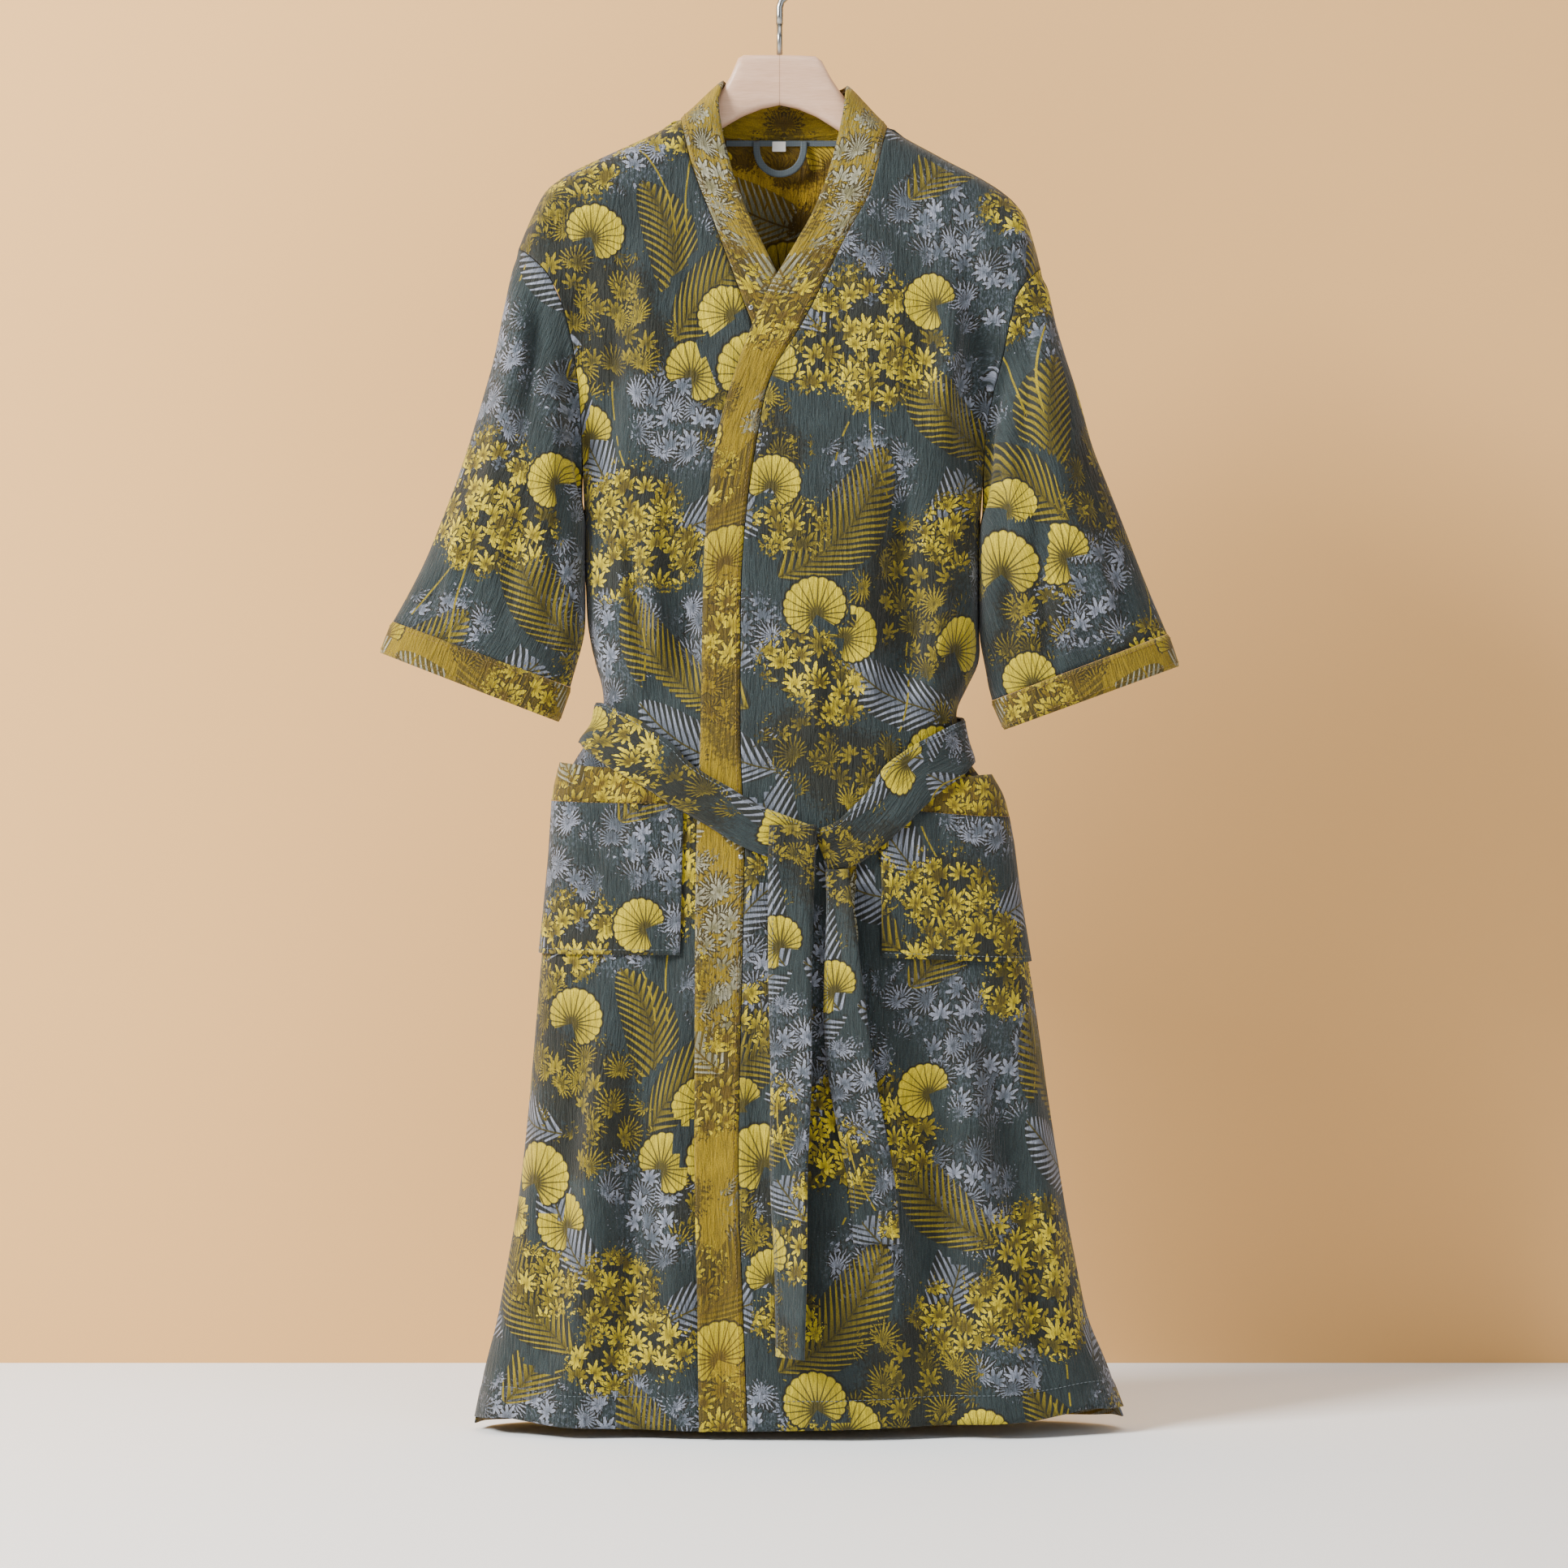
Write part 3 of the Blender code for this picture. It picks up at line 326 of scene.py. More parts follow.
def quad_shell(node):
    """A CAD node's mesh with its triangles joined back to the four-sided faces that it was built from."""
    # Where the shoulders' slanted faces don't join, they are set more level while they are joined
    chest, rise, neck = -0.504, 0.35, 0.088
    for lean in (0.0, 1.0, 0.6):
        for topology in (1.0, 1.5, 2.0):
            shell = packed(node)
            places = {v: v.co.copy() for v in shell.verts}
            for v in shell.verts:
                level = min(max((v.co.z - chest) / rise, 0.0), 1.0)
                v.co.z += lean * level * max(abs(v.co.x) - neck, 0.0)
            bmesh.ops.join_triangles(
                shell, faces=shell.faces, angle_face_threshold=math.pi, angle_shape_threshold=math.pi,
                topology_influence=topology,
            )
            for v, place in places.items():
                v.co = place
            if all(len(face.verts) == 4 for face in shell.faces):
                return shell
            shell.free()
    raise RuntimeError(f"{node}'s faces don't join to a grid")


def outside_faces(shell, wall, tube):
    """The faces of a shell's outer side, without its rim."""
    rim = {f for e in shell.edges if abs(e.calc_length() - wall) < 0.02 * MM for f in e.link_faces}
    left = set(shell.faces) - rim
    middle = sum((v.co for v in shell.verts), start=Vector()) / len(shell.verts)
    sheets = []
    while left:
        waiting, found = [left.pop()], []
        while waiting:
            face = waiting.pop()
            found.append(face)
            near = {f for e in face.edges for f in e.link_faces} & left
            left -= near
            waiting.extend(near)
        sheets.append(found)

    def outward(faces):
        total = 0.0
        for f in faces:
            centre = f.calc_center_median()
            away = centre - middle if tube else Vector((centre.x - middle.x, centre.y, 0.0))
            total += f.calc_area() * f.normal.dot(away)
        return total

    return set(max(sheets, key=outward))


def shell_grid(node, wall, tube=False):
    """Rows of points over the outside of a packed cloth node, the top row first."""
    shell = quad_shell(node)
    outside = outside_faces(shell, wall, tube)
    used_faces = {v: [f for f in v.link_faces if f in outside] for f in outside for v in f.verts}
    near = {}
    for v in used_faces:
        near[v] = {e.other_vert(v) for e in v.link_edges if not outside.isdisjoint(e.link_faces)}
    if tube:
        edge = {v for v, faces in used_faces.items() if len(faces) == 2}
        start = max(edge, key=lambda v: v.co.z)
        step = min(near[start] & edge, key=lambda v: v.co.y)
    else:
        corners = {v for v, faces in used_faces.items() if len(faces) == 1}
        edge = corners | {v for v, faces in used_faces.items() if len(faces) == 2}
        start = min(corners, key=lambda v: v.co.x - v.co.z)
        step = max(near[start], key=lambda v: (v.co - start.co).normalized().dot((1, 0, 1)))
    row = [start]
    while step is not None:
        row.append(step)
        if not tube and step in corners:
            break
        step = next((v for v in near[step] & edge if v not in row), None)
    rows, done = [row], set(row)
    while True:
        below = [next((v for v in near[above] if v not in done), None) for above in rows[-1]]
        if None in below:
            break
        rows.append(below)
        done |= set(below)
    grid = np.array([[v.co[:] for v in line] for line in rows])
    shell.free()
    return grid


def finer(grid, cell, wraps=False):
    """The same surface through closer points, on curves that pass through the first ones."""
    for axis in (0, 1):
        closed = wraps and axis == 1
        points = np.moveaxis(grid, axis, 0)
        if closed:
            points = np.concatenate([points, points[:1]])
        step = np.linalg.norm(np.diff(points, axis=0), axis=2).mean(axis=1)[:, None, None]
        slope = np.diff(points, axis=0) / step
        tangent = np.concatenate([slope[:1], slope])
        tangent[1:-1] = (slope[:-1] * step[1:] + slope[1:] * step[:-1]) / (step[1:] + step[:-1])
        if closed:
            tangent[0] = tangent[-1] = (slope[-1] * step[0] + slope[0] * step[-1]) / (step[0] + step[-1])
        pieces = []
        for i, h in enumerate(step[:, 0, 0]):
            t = (np.arange(math.ceil(h / cell)) / math.ceil(h / cell))[:, None, None]
            pieces.append(
                points[i] * (1 + 2 * t) * (1 - t) ** 2 + points[i + 1] * t * t * (3 - 2 * t)
                + h * (tangent[i] * t * (1 - t) ** 2 - tangent[i + 1] * t * t * (1 - t))
            )
        if not closed:
            pieces.append(points[-1:])
        grid = np.moveaxis(np.concatenate(pieces), 0, axis)
    return grid


def outward_normals(grid, wraps=False):
    """Unit vectors out of the surface at each point."""
    if wraps:
        across = np.roll(grid, -1, axis=1) - np.roll(grid, 1, axis=1)
    else:
        across = np.gradient(grid, axis=1)
    normal = np.cross(across, np.gradient(grid, axis=0))
    normal /= np.maximum(np.linalg.norm(normal, axis=2, keepdims=True), 1e-12)
    middle = grid.reshape(-1, 3).mean(axis=0)
    away = grid - middle if wraps else (grid - [middle[0], 0.0, 0.0]) * [1, 1, 0]
    return normal * math.copysign(1.0, float((normal * away).sum()))


def surface(node, wall, cell, tube=False):
    """Close points over the outside of a packed cloth node, and the ways out of it."""
    grid = finer(shell_grid(node, wall, tube), cell, tube)
    return grid, outward_normals(grid, tube)


def crease_height(grid, rows, faces_front=None):
    """The creases' height over a grid, with soft uneven sides and ends that fade out."""
    x, y, z = np.moveaxis(grid, 2, 0) / MM
    depth = bpy.context.scene.robe.crease_depth
    total = np.zeros(x.shape)
    for number, row in enumerate(rows):
        side, x0, z0, x1, z1, width, height = row
        if faces_front is not None and side != "a" and (side == "f") != faces_front:
            continue
        length = math.hypot(x1 - x0, z1 - z0)
        ax, az = (x1 - x0) / length, (z1 - z0) / length
        along = ((x - x0) * ax + (z - z0) * az) / length
        across = (x - x0) * az - (z - z0) * ax
        across = across + 0.35 * width * np.sin(5.1 * along + 1.7 * number)
        spread = width * (0.8 + 0.35 * along + 0.12 * np.sin(8.3 * along + number))
        ends = ease(along / 0.3) * ease((1 - along) / 0.3)
        uneven = 1 + 0.22 * np.sin(6.7 * along + 2.3 * number)
        if side == "a":
            uneven = uneven + 0.2 * np.sign(y) * math.sin(number)
        total += depth * height * ends * uneven * np.exp(-((across / spread) ** 2))
    return total * MM


def unit(ways):
    """The same ways, each of length 1."""
    return ways / np.linalg.norm(ways, axis=-1, keepdims=True)


def lengths(grid, axis):
    """How far along the cloth each point lies from the first one of its row or column."""
    step = np.linalg.norm(np.diff(grid, axis=axis), axis=2)
    first = np.zeros_like(step[:1] if axis == 0 else step[:, :1])
    return np.concatenate([first, np.cumsum(step, axis=axis)], axis=axis)


def nearest(places, wanted):
    """Which of the lengths along the cloth comes nearest to the wanted one."""
    return int(np.argmin(abs(places - wanted)))


def flow(grid, start=None, shift=(0.0, 0.0)):
    """U and V of a hanging piece: round it from the body's middle or its first column, and down its length.

    A sleeve's length runs from its ring number start to its last one, and a panel's over the shoulder.
    """
    down = np.array([0.0, 0.0, 1.0])
    if start is not None:
        down = grid[start].mean(axis=0) - grid[-1].mean(axis=0)
        down /= np.linalg.norm(down)
    v = grid @ down
    u = lengths(grid - v[:, :, None] * down, 1)
    if start is None:
        u = u + grid[:, :1, 0]
        v = grid[-1:, :, 2] + lengths(grid[::-1] * (0, 1, 1), 0)[::-1]
    return np.stack([u + shift[0], v + shift[1]], axis=2)


def put_in_scene(name, data):
    """A new object of this mesh or camera, in the scene."""
    item = bpy.data.objects.new(name, data)
    bpy.context.scene.collection.objects.link(item)
    return item


def cloth(name, grid, uv, finishes, wall, wraps=False):
    """A thin shell hung inwards from its outside points, with its lengths as UV and its design laid out."""
    rows, columns = grid.shape[:2]
    if wraps:
        last = uv[:, :1] + [wraps_width(uv), 0.0]
        uv = np.concatenate([uv, last], axis=1)
    r, c = np.meshgrid(np.arange(rows - 1), np.arange(uv.shape[1] - 1), indexing="ij")
    r, c = r.ravel(), c.ravel()
    d = (c + 1) % columns
    here, below = r * columns, (r + 1) * columns
    faces = np.stack([here + c, below + c, below + d, here + d], axis=1)
    corners = np.stack([uv[r, c], uv[r + 1, c], uv[r + 1, c + 1], uv[r, c + 1]], axis=1)
    mesh = bpy.data.meshes.new(name)
    mesh.from_pydata(grid.reshape(-1, 3).tolist(), [], faces.tolist())
    layer = mesh.uv_layers.new(name="cloth")
    layer.data.foreach_set("uv", corners.astype(np.float32).ravel())
    if finishes[0].name.startswith("gauze"):
        for label, values in layout(corners / MM).items():
            layer = mesh.attributes.new(label, "FLOAT_VECTOR", "CORNER")
            layer.data.foreach_set("vector", values.astype(np.float32).ravel())
    mesh.update()
    normals = outward_normals(grid, wraps)
    sample = mesh.polygons[len(faces) // 2]
    if np.dot(sample.normal, normals[divmod(sample.vertices[0], columns)]) < 0:
        mesh.flip_normals()
    mesh.shade_smooth()
    for finish in finishes:
        mesh.materials.append(finish)
    item = put_in_scene(name, mesh)
    shell = item.modifiers.new("wall", "SOLIDIFY")
    shell.thickness = wall
    shell.offset = -1.0
    shell.material_offset = len(finishes) - 1
    bpy.context.view_layer.objects.active = item
    bpy.ops.object.modifier_apply(modifier=shell.name)
    return item


def wraps_width(uv):
    """The U length once round a tube: the last point's and one more step."""
    return float(uv[0, -1, 0] + (uv[0, -1, 0] - uv[0, -2, 0]))


def dress(item, node):
    """A piece rides on the body and stands for its CAD node, which is hidden."""
    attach(item, "root")
    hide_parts(node)
    return item


def declare(item, node):
    """The same as dress: the piece rides on the body and stands for its CAD node."""
    dress(item, node)
    return item


def stitches(name, line, normals, finish, lift=0.15 * MM, pitch=4.2 * MM, dash=2.9 * MM, thick=0.7 * MM):
    """Sewing along a line of points: one slim six-sided thread for each stitch, as one mesh."""
    step = np.linalg.norm(np.diff(line, axis=0), axis=1)
    run = np.concatenate([[0.0], np.cumsum(step)])
    points, faces = [], []
    for start in np.arange(pitch / 2, run[-1] - dash, pitch):
        ends = []
        for at in (start, start + dash / 2, start + dash):
            ends.append([np.interp(at, run, line[:, k]) for k in range(3)])
        way = np.array([np.interp(start, run, normals[:, k]) for k in range(3)])
        along = np.array(ends[2]) - np.array(ends[0])
        side = np.cross(along, way)
        side /= np.linalg.norm(side)
        base = len(points)
        for place, high in zip(ends, (0.1, 1.0, 0.1)):
            centre = np.array(place) + way * (lift + 0.25 * thick * high)
            for a in np.linspace(0, 2 * math.pi, 6, endpoint=False):
                spread = (side * math.cos(a) + way * math.sin(a)) * thick / 2 * (0.35 + 0.65 * high)
                points.append(centre + spread)
        for ring in (0, 6):
            for k in range(6):
                j = (k + 1) % 6
                faces.append((base + ring + k, base + ring + j, base + ring + 6 + j, base + ring + 6 + k))
        faces.append(tuple(base + k for k in range(5, -1, -1)))
        faces.append(tuple(base + 12 + k for k in range(6)))
    mesh = bpy.data.meshes.new(name)
    mesh.from_pydata([p.tolist() for p in points], [], faces)
    mesh.update()
    mesh.shade_smooth()
    shell = bmesh.new()
    shell.from_mesh(mesh)
    bmesh.ops.recalc_face_normals(shell, faces=shell.faces)
    shell.to_mesh(mesh)
    shell.free()
    mesh.materials.append(finish)
    item = put_in_scene(name, mesh)
    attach(item, "root")
    return item


# Materials


def group(name, inputs, outputs):
    """An empty node group with named inputs, each with its default, and named outputs."""
    tree = bpy.data.node_groups.new(name, "ShaderNodeTree")
    for label, value in inputs.items():
        kind = "NodeSocketVector" if label == "Vector" else "NodeSocketFloat"
        socket = tree.interface.new_socket(label, in_out="INPUT", socket_type=kind)
        if label != "Vector":
            socket.default_value = value
    for label in outputs:
        tree.interface.new_socket(label, in_out="OUTPUT", socket_type="NodeSocketFloat")
    source = tree.nodes.new("NodeGroupInput")
    sink = tree.nodes.new("NodeGroupOutput")
    return tree, {s.name: s for s in source.outputs if s.name}, {s.name: s for s in sink.inputs if s.name}


def leaflet_group():
    """Clusters of pointed leaflets, one in each cell: their shape, a slightly wider one, and a tone with
    painted shade.
    """
    tree, source, sink = group(
        LEAFLET_GROUP,
        dict(Vector=None, Cell=22.0, Leaflets=8.0, Reach=0.46, Width=0.09, Sector=2.3, Tilt=1.6),
        ("Mask", "Edge", "Shade"),
    )
    put = partial(add, tree)
    size = put("CombineXYZ", source["Cell"], source["Cell"], 1.0)
    place = put("VectorMath DIVIDE", source["Vector"], size)
    cells = put("TexVoronoi", place, 1.0, voronoi_dimensions="2D").node
    cells.inputs["Randomness"].default_value = 0.8
    random = put("SeparateColor", cells.outputs["Color"]).node.outputs
    local = put("VectorMath SUBTRACT", place, cells.outputs["Position"])
    lean = put("Math MULTIPLY", put("Math SUBTRACT", random[0], 0.5), source["Tilt"])
    turned = put("VectorRotate Z_AXIS", local, (0, 0, 0), lean)
    parts = put("SeparateXYZ", turned).node.outputs
    # How far round a point lies from its nearest leaflet's middle line, and how long that leaflet is
    angle = put("Math ARCTAN2", parts[0], parts[1])
    reach = put("VectorMath LENGTH", turned)
    step = put("Math DIVIDE", 2 * math.pi, source["Leaflets"])
    turns = put("Math ABSOLUTE", put("Math WRAP", put("Math DIVIDE", angle, step), 0.5, -0.5))
    lateral = put("Math MULTIPLY", put("Math MULTIPLY", turns, step), reach)
    size = put("Math MULTIPLY", put("Math COSINE", put("Math MULTIPLY", angle, 0.45)), source["Reach"])
    # A leaflet is widest near its middle, and none grow on one side of the cell
    t = put("Math DIVIDE", reach, size)
    belly = put("Math MULTIPLY", t, put("Math SUBTRACT", 1.0, t), use_clamp=True)
    inside = put("Math MULTIPLY", put("Math POWER", belly, 0.6), source["Width"])
    inside = put("Math SUBTRACT", inside, lateral)
    open_side = put("Math LESS_THAN", put("Math ABSOLUTE", angle), source["Sector"])
    # The mask's edge is under half a millimetre wide, and the wider shape stands out a millimetre round it
    sharp = put("Math MULTIPLY", source["Cell"], 2.4)
    mask = put("Math MULTIPLY", put("Math MULTIPLY", inside, sharp, use_clamp=True), open_side)
    edge = put("Math MULTIPLY_ADD", inside, sharp, 2.8, use_clamp=True)
    edge = put("Math MULTIPLY", put("Math MULTIPLY", edge, put("Math LESS_THAN", t, 1.12)), open_side)
    # Each cluster's tone differs at random, and its leaflets are painted darker towards their base, as
    # painted shade of their relief
    shade = put("Math ADD", random[2], put("MapRange", t, 0.05, 0.8, -0.6, 0.55), use_clamp=True)
    tree.links.new(mask, sink["Mask"])
    tree.links.new(edge, sink["Edge"])
    tree.links.new(shade, sink["Shade"])
    return tree


def frond(put, name):
    """A long feathered leaf: its mask, its rib, a shade, whether it is grey, and its whole outline."""
    parts = put("SeparateXYZ", put("Attribute", out="Vector", attribute_name=name)).node.outputs
    size = put("Math MAXIMUM", put("Math ABSOLUTE", parts[2]), 1.0)
    x = put("Math ABSOLUTE", parts[0])
    y = parts[1]
    t = put("Math ADD", put("Math DIVIDE", y, size), 0.5, use_clamp=True)
    belly = put("Math POWER", put("Math MULTIPLY", t, put("Math SUBTRACT", 1.0, t)), 0.62)
    half = put("Math MAXIMUM", put("Math MULTIPLY", put("Math MULTIPLY", belly, size), 0.5), 0.01)
    fill = put("Math DIVIDE", x, half)
    # Its leaflets slant up from the rib, 7.8 mm apart, and thin towards their tips
    run = put("Math DIVIDE", put("Math SUBTRACT", y, put("Math MULTIPLY", x, 1.1)), 7.8)
    run = put("Math ABSOLUTE", put("Math SUBTRACT", put("Math WRAP", run, 1.0, 0.0), 0.5))
    inside = put("Math SUBTRACT", put("MapRange", fill, 0.0, 1.0, 0.45, 0.14), run)
    inside = put("Math MULTIPLY", inside, 9.0, use_clamp=True)
    within = put("Math LESS_THAN", fill, 1.0)
    mask = put("Math MULTIPLY", inside, within)
    rib = put("Math MULTIPLY", put("Math LESS_THAN", x, 0.8), put("Math GREATER_THAN", belly, 0.02))
    shade = put("MapRange", fill, 0.0, 0.7, 0.1, 1.0)
    grey = put("Math LESS_THAN", parts[2], 0.0)
    return mask, rib, shade, grey, within


def round_leaf(put, name):
    """A round leaf with ribs from its base: its mask, wider rim, ribs with painted shade, and the mask of a
    stem.
    """
    parts = put("SeparateXYZ", put("Attribute", out="Vector", attribute_name=name)).node.outputs
    size = put("Math MAXIMUM", put("Math ABSOLUTE", parts[2]), 1.0)
    y = put("Math SUBTRACT", parts[1], put("Math MULTIPLY", size, -0.2))
    reach = put("Math DIVIDE", put("VectorMath LENGTH", put("CombineXYZ", parts[0], y, 0.0)), size)
    angle = put("Math ARCTAN2", parts[0], y)
    # Its outline is scalloped between the ribs
    wave = put("Math ABSOLUTE", put("Math SINE", put("Math MULTIPLY", angle, 11.0)))
    limit = put("Math MULTIPLY_ADD", wave, 0.045, put("Math COSINE", put("Math MULTIPLY", angle, 0.42)))
    limit = put("Math MULTIPLY", limit, 0.53)
    open_side = put("Math LESS_THAN", put("Math ABSOLUTE", angle), 2.35)
    inside = put("Math SUBTRACT", limit, reach)
    rim = put("Math MULTIPLY", put("Math ADD", inside, 0.035), 60.0, use_clamp=True)
    leaf = put("Math MULTIPLY", put("Math MULTIPLY", inside, 60.0, use_clamp=True), open_side)
    rim = put("Math MULTIPLY", rim, open_side)
    ribs_and_shade = put("Math MULTIPLY", wave, put("Math MULTIPLY", reach, 3.6))
    ribs_and_shade = put("MapRange", ribs_and_shade, 0.1, 0.55, 0.0, 0.75)
    # Besides its darker ribs, the leaf is painted darker towards its base, as painted shade of its relief
    ribs_and_shade = put("Math ADD", ribs_and_shade, put("MapRange", reach, 0.12, 0.5, -0.34, 0.22), use_clamp=True)
    stem = put("Math LESS_THAN", parts[2], 0.0)
    line = put("Math LESS_THAN", put("Math ABSOLUTE", parts[0]), 0.8)
    other = put("Math SUBTRACT", 1.0, stem)
    leaf = put("Math MULTIPLY", leaf, other)
    rim = put("Math MULTIPLY", rim, other)
    line = put("Math MULTIPLY", line, stem)
    return leaf, rim, ribs_and_shade, line


def motif(tree, vector, sizes):
    """One layer of small leaves: a use of the leaflet group with its own sizes."""
    made = tree.nodes.new("ShaderNodeGroup")
    made.node_tree = bpy.data.node_groups[LEAFLET_GROUP]
    tree.links.new(vector, made.inputs["Vector"])
    for label, value in sizes.items():
        made.inputs[label].default_value = value
    return made


def principled(name, roughness, metallic=0.0, sheen=0.0):
    """A new material with its tree and its shader."""
    made = bpy.data.materials.new(name)
    made.use_nodes = True
    shader = made.node_tree.nodes["Principled BSDF"]
    shader.inputs["Roughness"].default_value = roughness
    shader.inputs["Metallic"].default_value = metallic
    shader.inputs["Sheen Weight"].default_value = sheen
    return made, made.node_tree, shader


def jacquard(name, ground, grey, olive, yellow, dark):
    """Double-gauze cotton jacquard: two layers of fine yarn, crinkled down the cloth, with leaves woven in.

    The yarns carry the colour, so it is dull and soft with a little fuzz, and the crinkle breaks its edges.
    """
    made, tree, shader = principled(name, 0.85, sheen=0.12)
    put = partial(add, tree)
    shader.inputs["Specular IOR Level"].default_value = 0.32
    flat = put("VectorMath MULTIPLY", put("UVMap", uv_map="cloth"), PER_METRE)
    # The crinkle draws the yarns a little to and fro, so the leaves' edges are not quite smooth
    jitter = put("TexNoise", flat, 0.3, 2.0, 0.6, out="Color", noise_dimensions="2D")
    jitter = put("VectorMath SUBTRACT", jitter, (0.5, 0.5, 0.5))
    drawn = put("VectorMath ADD", flat, put("VectorMath MULTIPLY", jitter, (2.6, 2.2, 0.0)))
    rough = put("SeparateXYZ", jitter).node.outputs
    crowns = put("SeparateXYZ", put("Attribute", out="Vector", attribute_name="crowns")).node.outputs

    # Fine hatching stands for leaves further back, as pale yarns that come up through the ground
    hatch = put("VectorMath MULTIPLY", drawn, (0.5, 0.3, 1.0))
    hatch = put("TexNoise", hatch, 0.9, 2.0, 0.7, noise_dimensions="2D")
    hatch = put("MapRange", hatch, 0.5, 0.62, 0.0, 1.0)
    near = put("MapRange", put("Math MULTIPLY_ADD", crowns[2], 1.4, rough[1]), -0.35, 0.3, 0.04, 0.85)
    colour = put("Mix RGBA", put("Math MULTIPLY", hatch, near), ground, linear(grey[0]))
    # Behind each crown the ground is dark, so that its leaves stand out
    for crown in (0, 1):
        where = put("Math MULTIPLY_ADD", crowns[crown], 1.0, rough[0])
        colour = put("Mix RGBA", put("MapRange", where, -0.1, 0.12, 0.0, 0.75), colour, linear(dark))
    # Layers of small leaves, the front one last: sizes, colours, crown, shift, and how deep in it they start
    small = dict(Cell=29.0, Leaflets=10.0, Reach=0.62, Width=0.165, Sector=2.45, Tilt=2.2)
    tiny = dict(Cell=23.0, Leaflets=9.0, Reach=0.6, Width=0.18, Sector=2.5, Tilt=2.4)
    stars = dict(Cell=34.0, Leaflets=21.0, Reach=0.62, Width=0.06, Sector=3.2, Tilt=3.0)
    layers = (
        (stars, grey, 2, 57.0, -0.2),
        (tiny, grey, 2, 23.0, 0.06),
        (stars, olive, 1, 31.0, -0.15),
        (tiny, olive, 1, 77.0, 0.3),
        (small, olive, 0, 91.0, -0.16),
        (small, yellow, 0, 13.0, -0.06),
        (tiny, yellow, 0, 43.0, 0.04),
    )
    for number, (sizes, (shaded, lit), crown, shift, least) in enumerate(layers):
        if number == 2:
            mask, rib, shade, is_grey, within = frond(put, "fronds")
            colour = put("Mix RGBA", put("Math MULTIPLY", within, 0.7), colour, linear(dark))
            tone = put("Mix RGBA", shade, linear(olive[0]), linear(olive[1]))
            pale = put("Mix RGBA", shade, linear(grey[0]), linear(grey[1]))
            colour = put("Mix RGBA", mask, colour, put("Mix RGBA", is_grey, tone, pale))
            colour = put("Mix RGBA", rib, colour, linear(olive[0]))
        moved = put("VectorMath ADD", drawn, (shift * 3.1, shift * 1.7, 0.0))
        leaf = motif(tree, moved, sizes)
        where = put("Math MULTIPLY_ADD", crowns[crown], 1.0, rough[0])
        where = put("MapRange", where, least, least + 0.05, 0.0, 1.0)
        mask = put("Math MULTIPLY", leaf.outputs["Mask"], where)
        edge = put("Math MULTIPLY", leaf.outputs["Edge"], where)
        colour = put("Mix RGBA", edge, colour, linear(dark))
        tone = put("Mix RGBA", leaf.outputs["Shade"], linear(shaded), linear(lit))
        colour = put("Mix RGBA", mask, colour, tone)
    leaf, rim, ribs_and_shade, line = round_leaf(put, "leaves")
    tone = put("Mix RGBA", ribs_and_shade, linear(olive[0]), linear(yellow[1]))
    colour = put("Mix RGBA", leaf, put("Mix RGBA", rim, colour, linear(dark)), tone)
    colour = put("Mix RGBA", line, colour, linear(olive[1]))

    # Crinkles a few millimetres apart, long down the cloth, and yarns drawn coarse so that they still show
    stretch = put("VectorMath MULTIPLY", flat, (0.4, 0.055, 1.0))
    crinkle = put("TexNoise", stretch, 1.0, 2.0, 0.6, 2.0, 0.4, noise_dimensions="2D")
    yarn = put("TexNoise", flat, 0.9, 1.0, 0.5, noise_dimensions="2D")
    # Where the crinkles and yarns lie low, the colour is painted darker, as painted shade of their bump
    painted_shade_and_dye = put("MapRange", crinkle, 0.3, 0.64, 0.64, 1.04)
    painted_shade_and_dye = put("Math MULTIPLY", painted_shade_and_dye, put("MapRange", yarn, 0.3, 0.7, 0.74, 1.14))
    # The colour varies a little over a hand's breadth, partly as uneven dye and partly as painted light and
    # shade
    dye_and_light = put("TexNoise", flat, 0.013, 1.0, 0.5, noise_dimensions="2D")
    painted_shade_and_dye = put("Math MULTIPLY", painted_shade_and_dye, put("MapRange", dye_and_light, 0.3, 0.7, 0.84, 1.1))
    shaded = put("VectorMath SCALE", colour, painted_shade_and_dye)
    tree.links.new(shaded, shader.inputs["Base Color"])
    height = put("Math MULTIPLY_ADD", yarn, 0.22, crinkle)
    tree.links.new(put("Bump", 1.0, 1.9 * MM, None, height), shader.inputs["Normal"])
    return made


def plain_weave(name, colour, dark, pitch, roughness=0.8):
    """Woven cotton tape, label satin or sewing thread: fine even yarns in one colour."""
    made, tree, shader = principled(name, roughness, sheen=0.15)
    put = partial(add, tree)
    flat = put("VectorMath MULTIPLY", put("TexCoord", out="Object"), PER_METRE)
    yarns = [
        put("TexWave", flat, 1 / (6.3 * pitch), 0.4, 1.0, wave_type="BANDS", bands_direction=way, out="Fac")
        for way in ("X", "Z")
    ]
    weave = put("Math MULTIPLY", *yarns)
    # The colour is painted darker between the yarns, as painted shade of the weave
    tone = put("Mix RGBA", weave, linear(dark), linear(colour))
    tree.links.new(tone, shader.inputs["Base Color"])
    tree.links.new(put("Bump", 0.4, 0.3 * MM, None, weave), shader.inputs["Normal"])
    return made


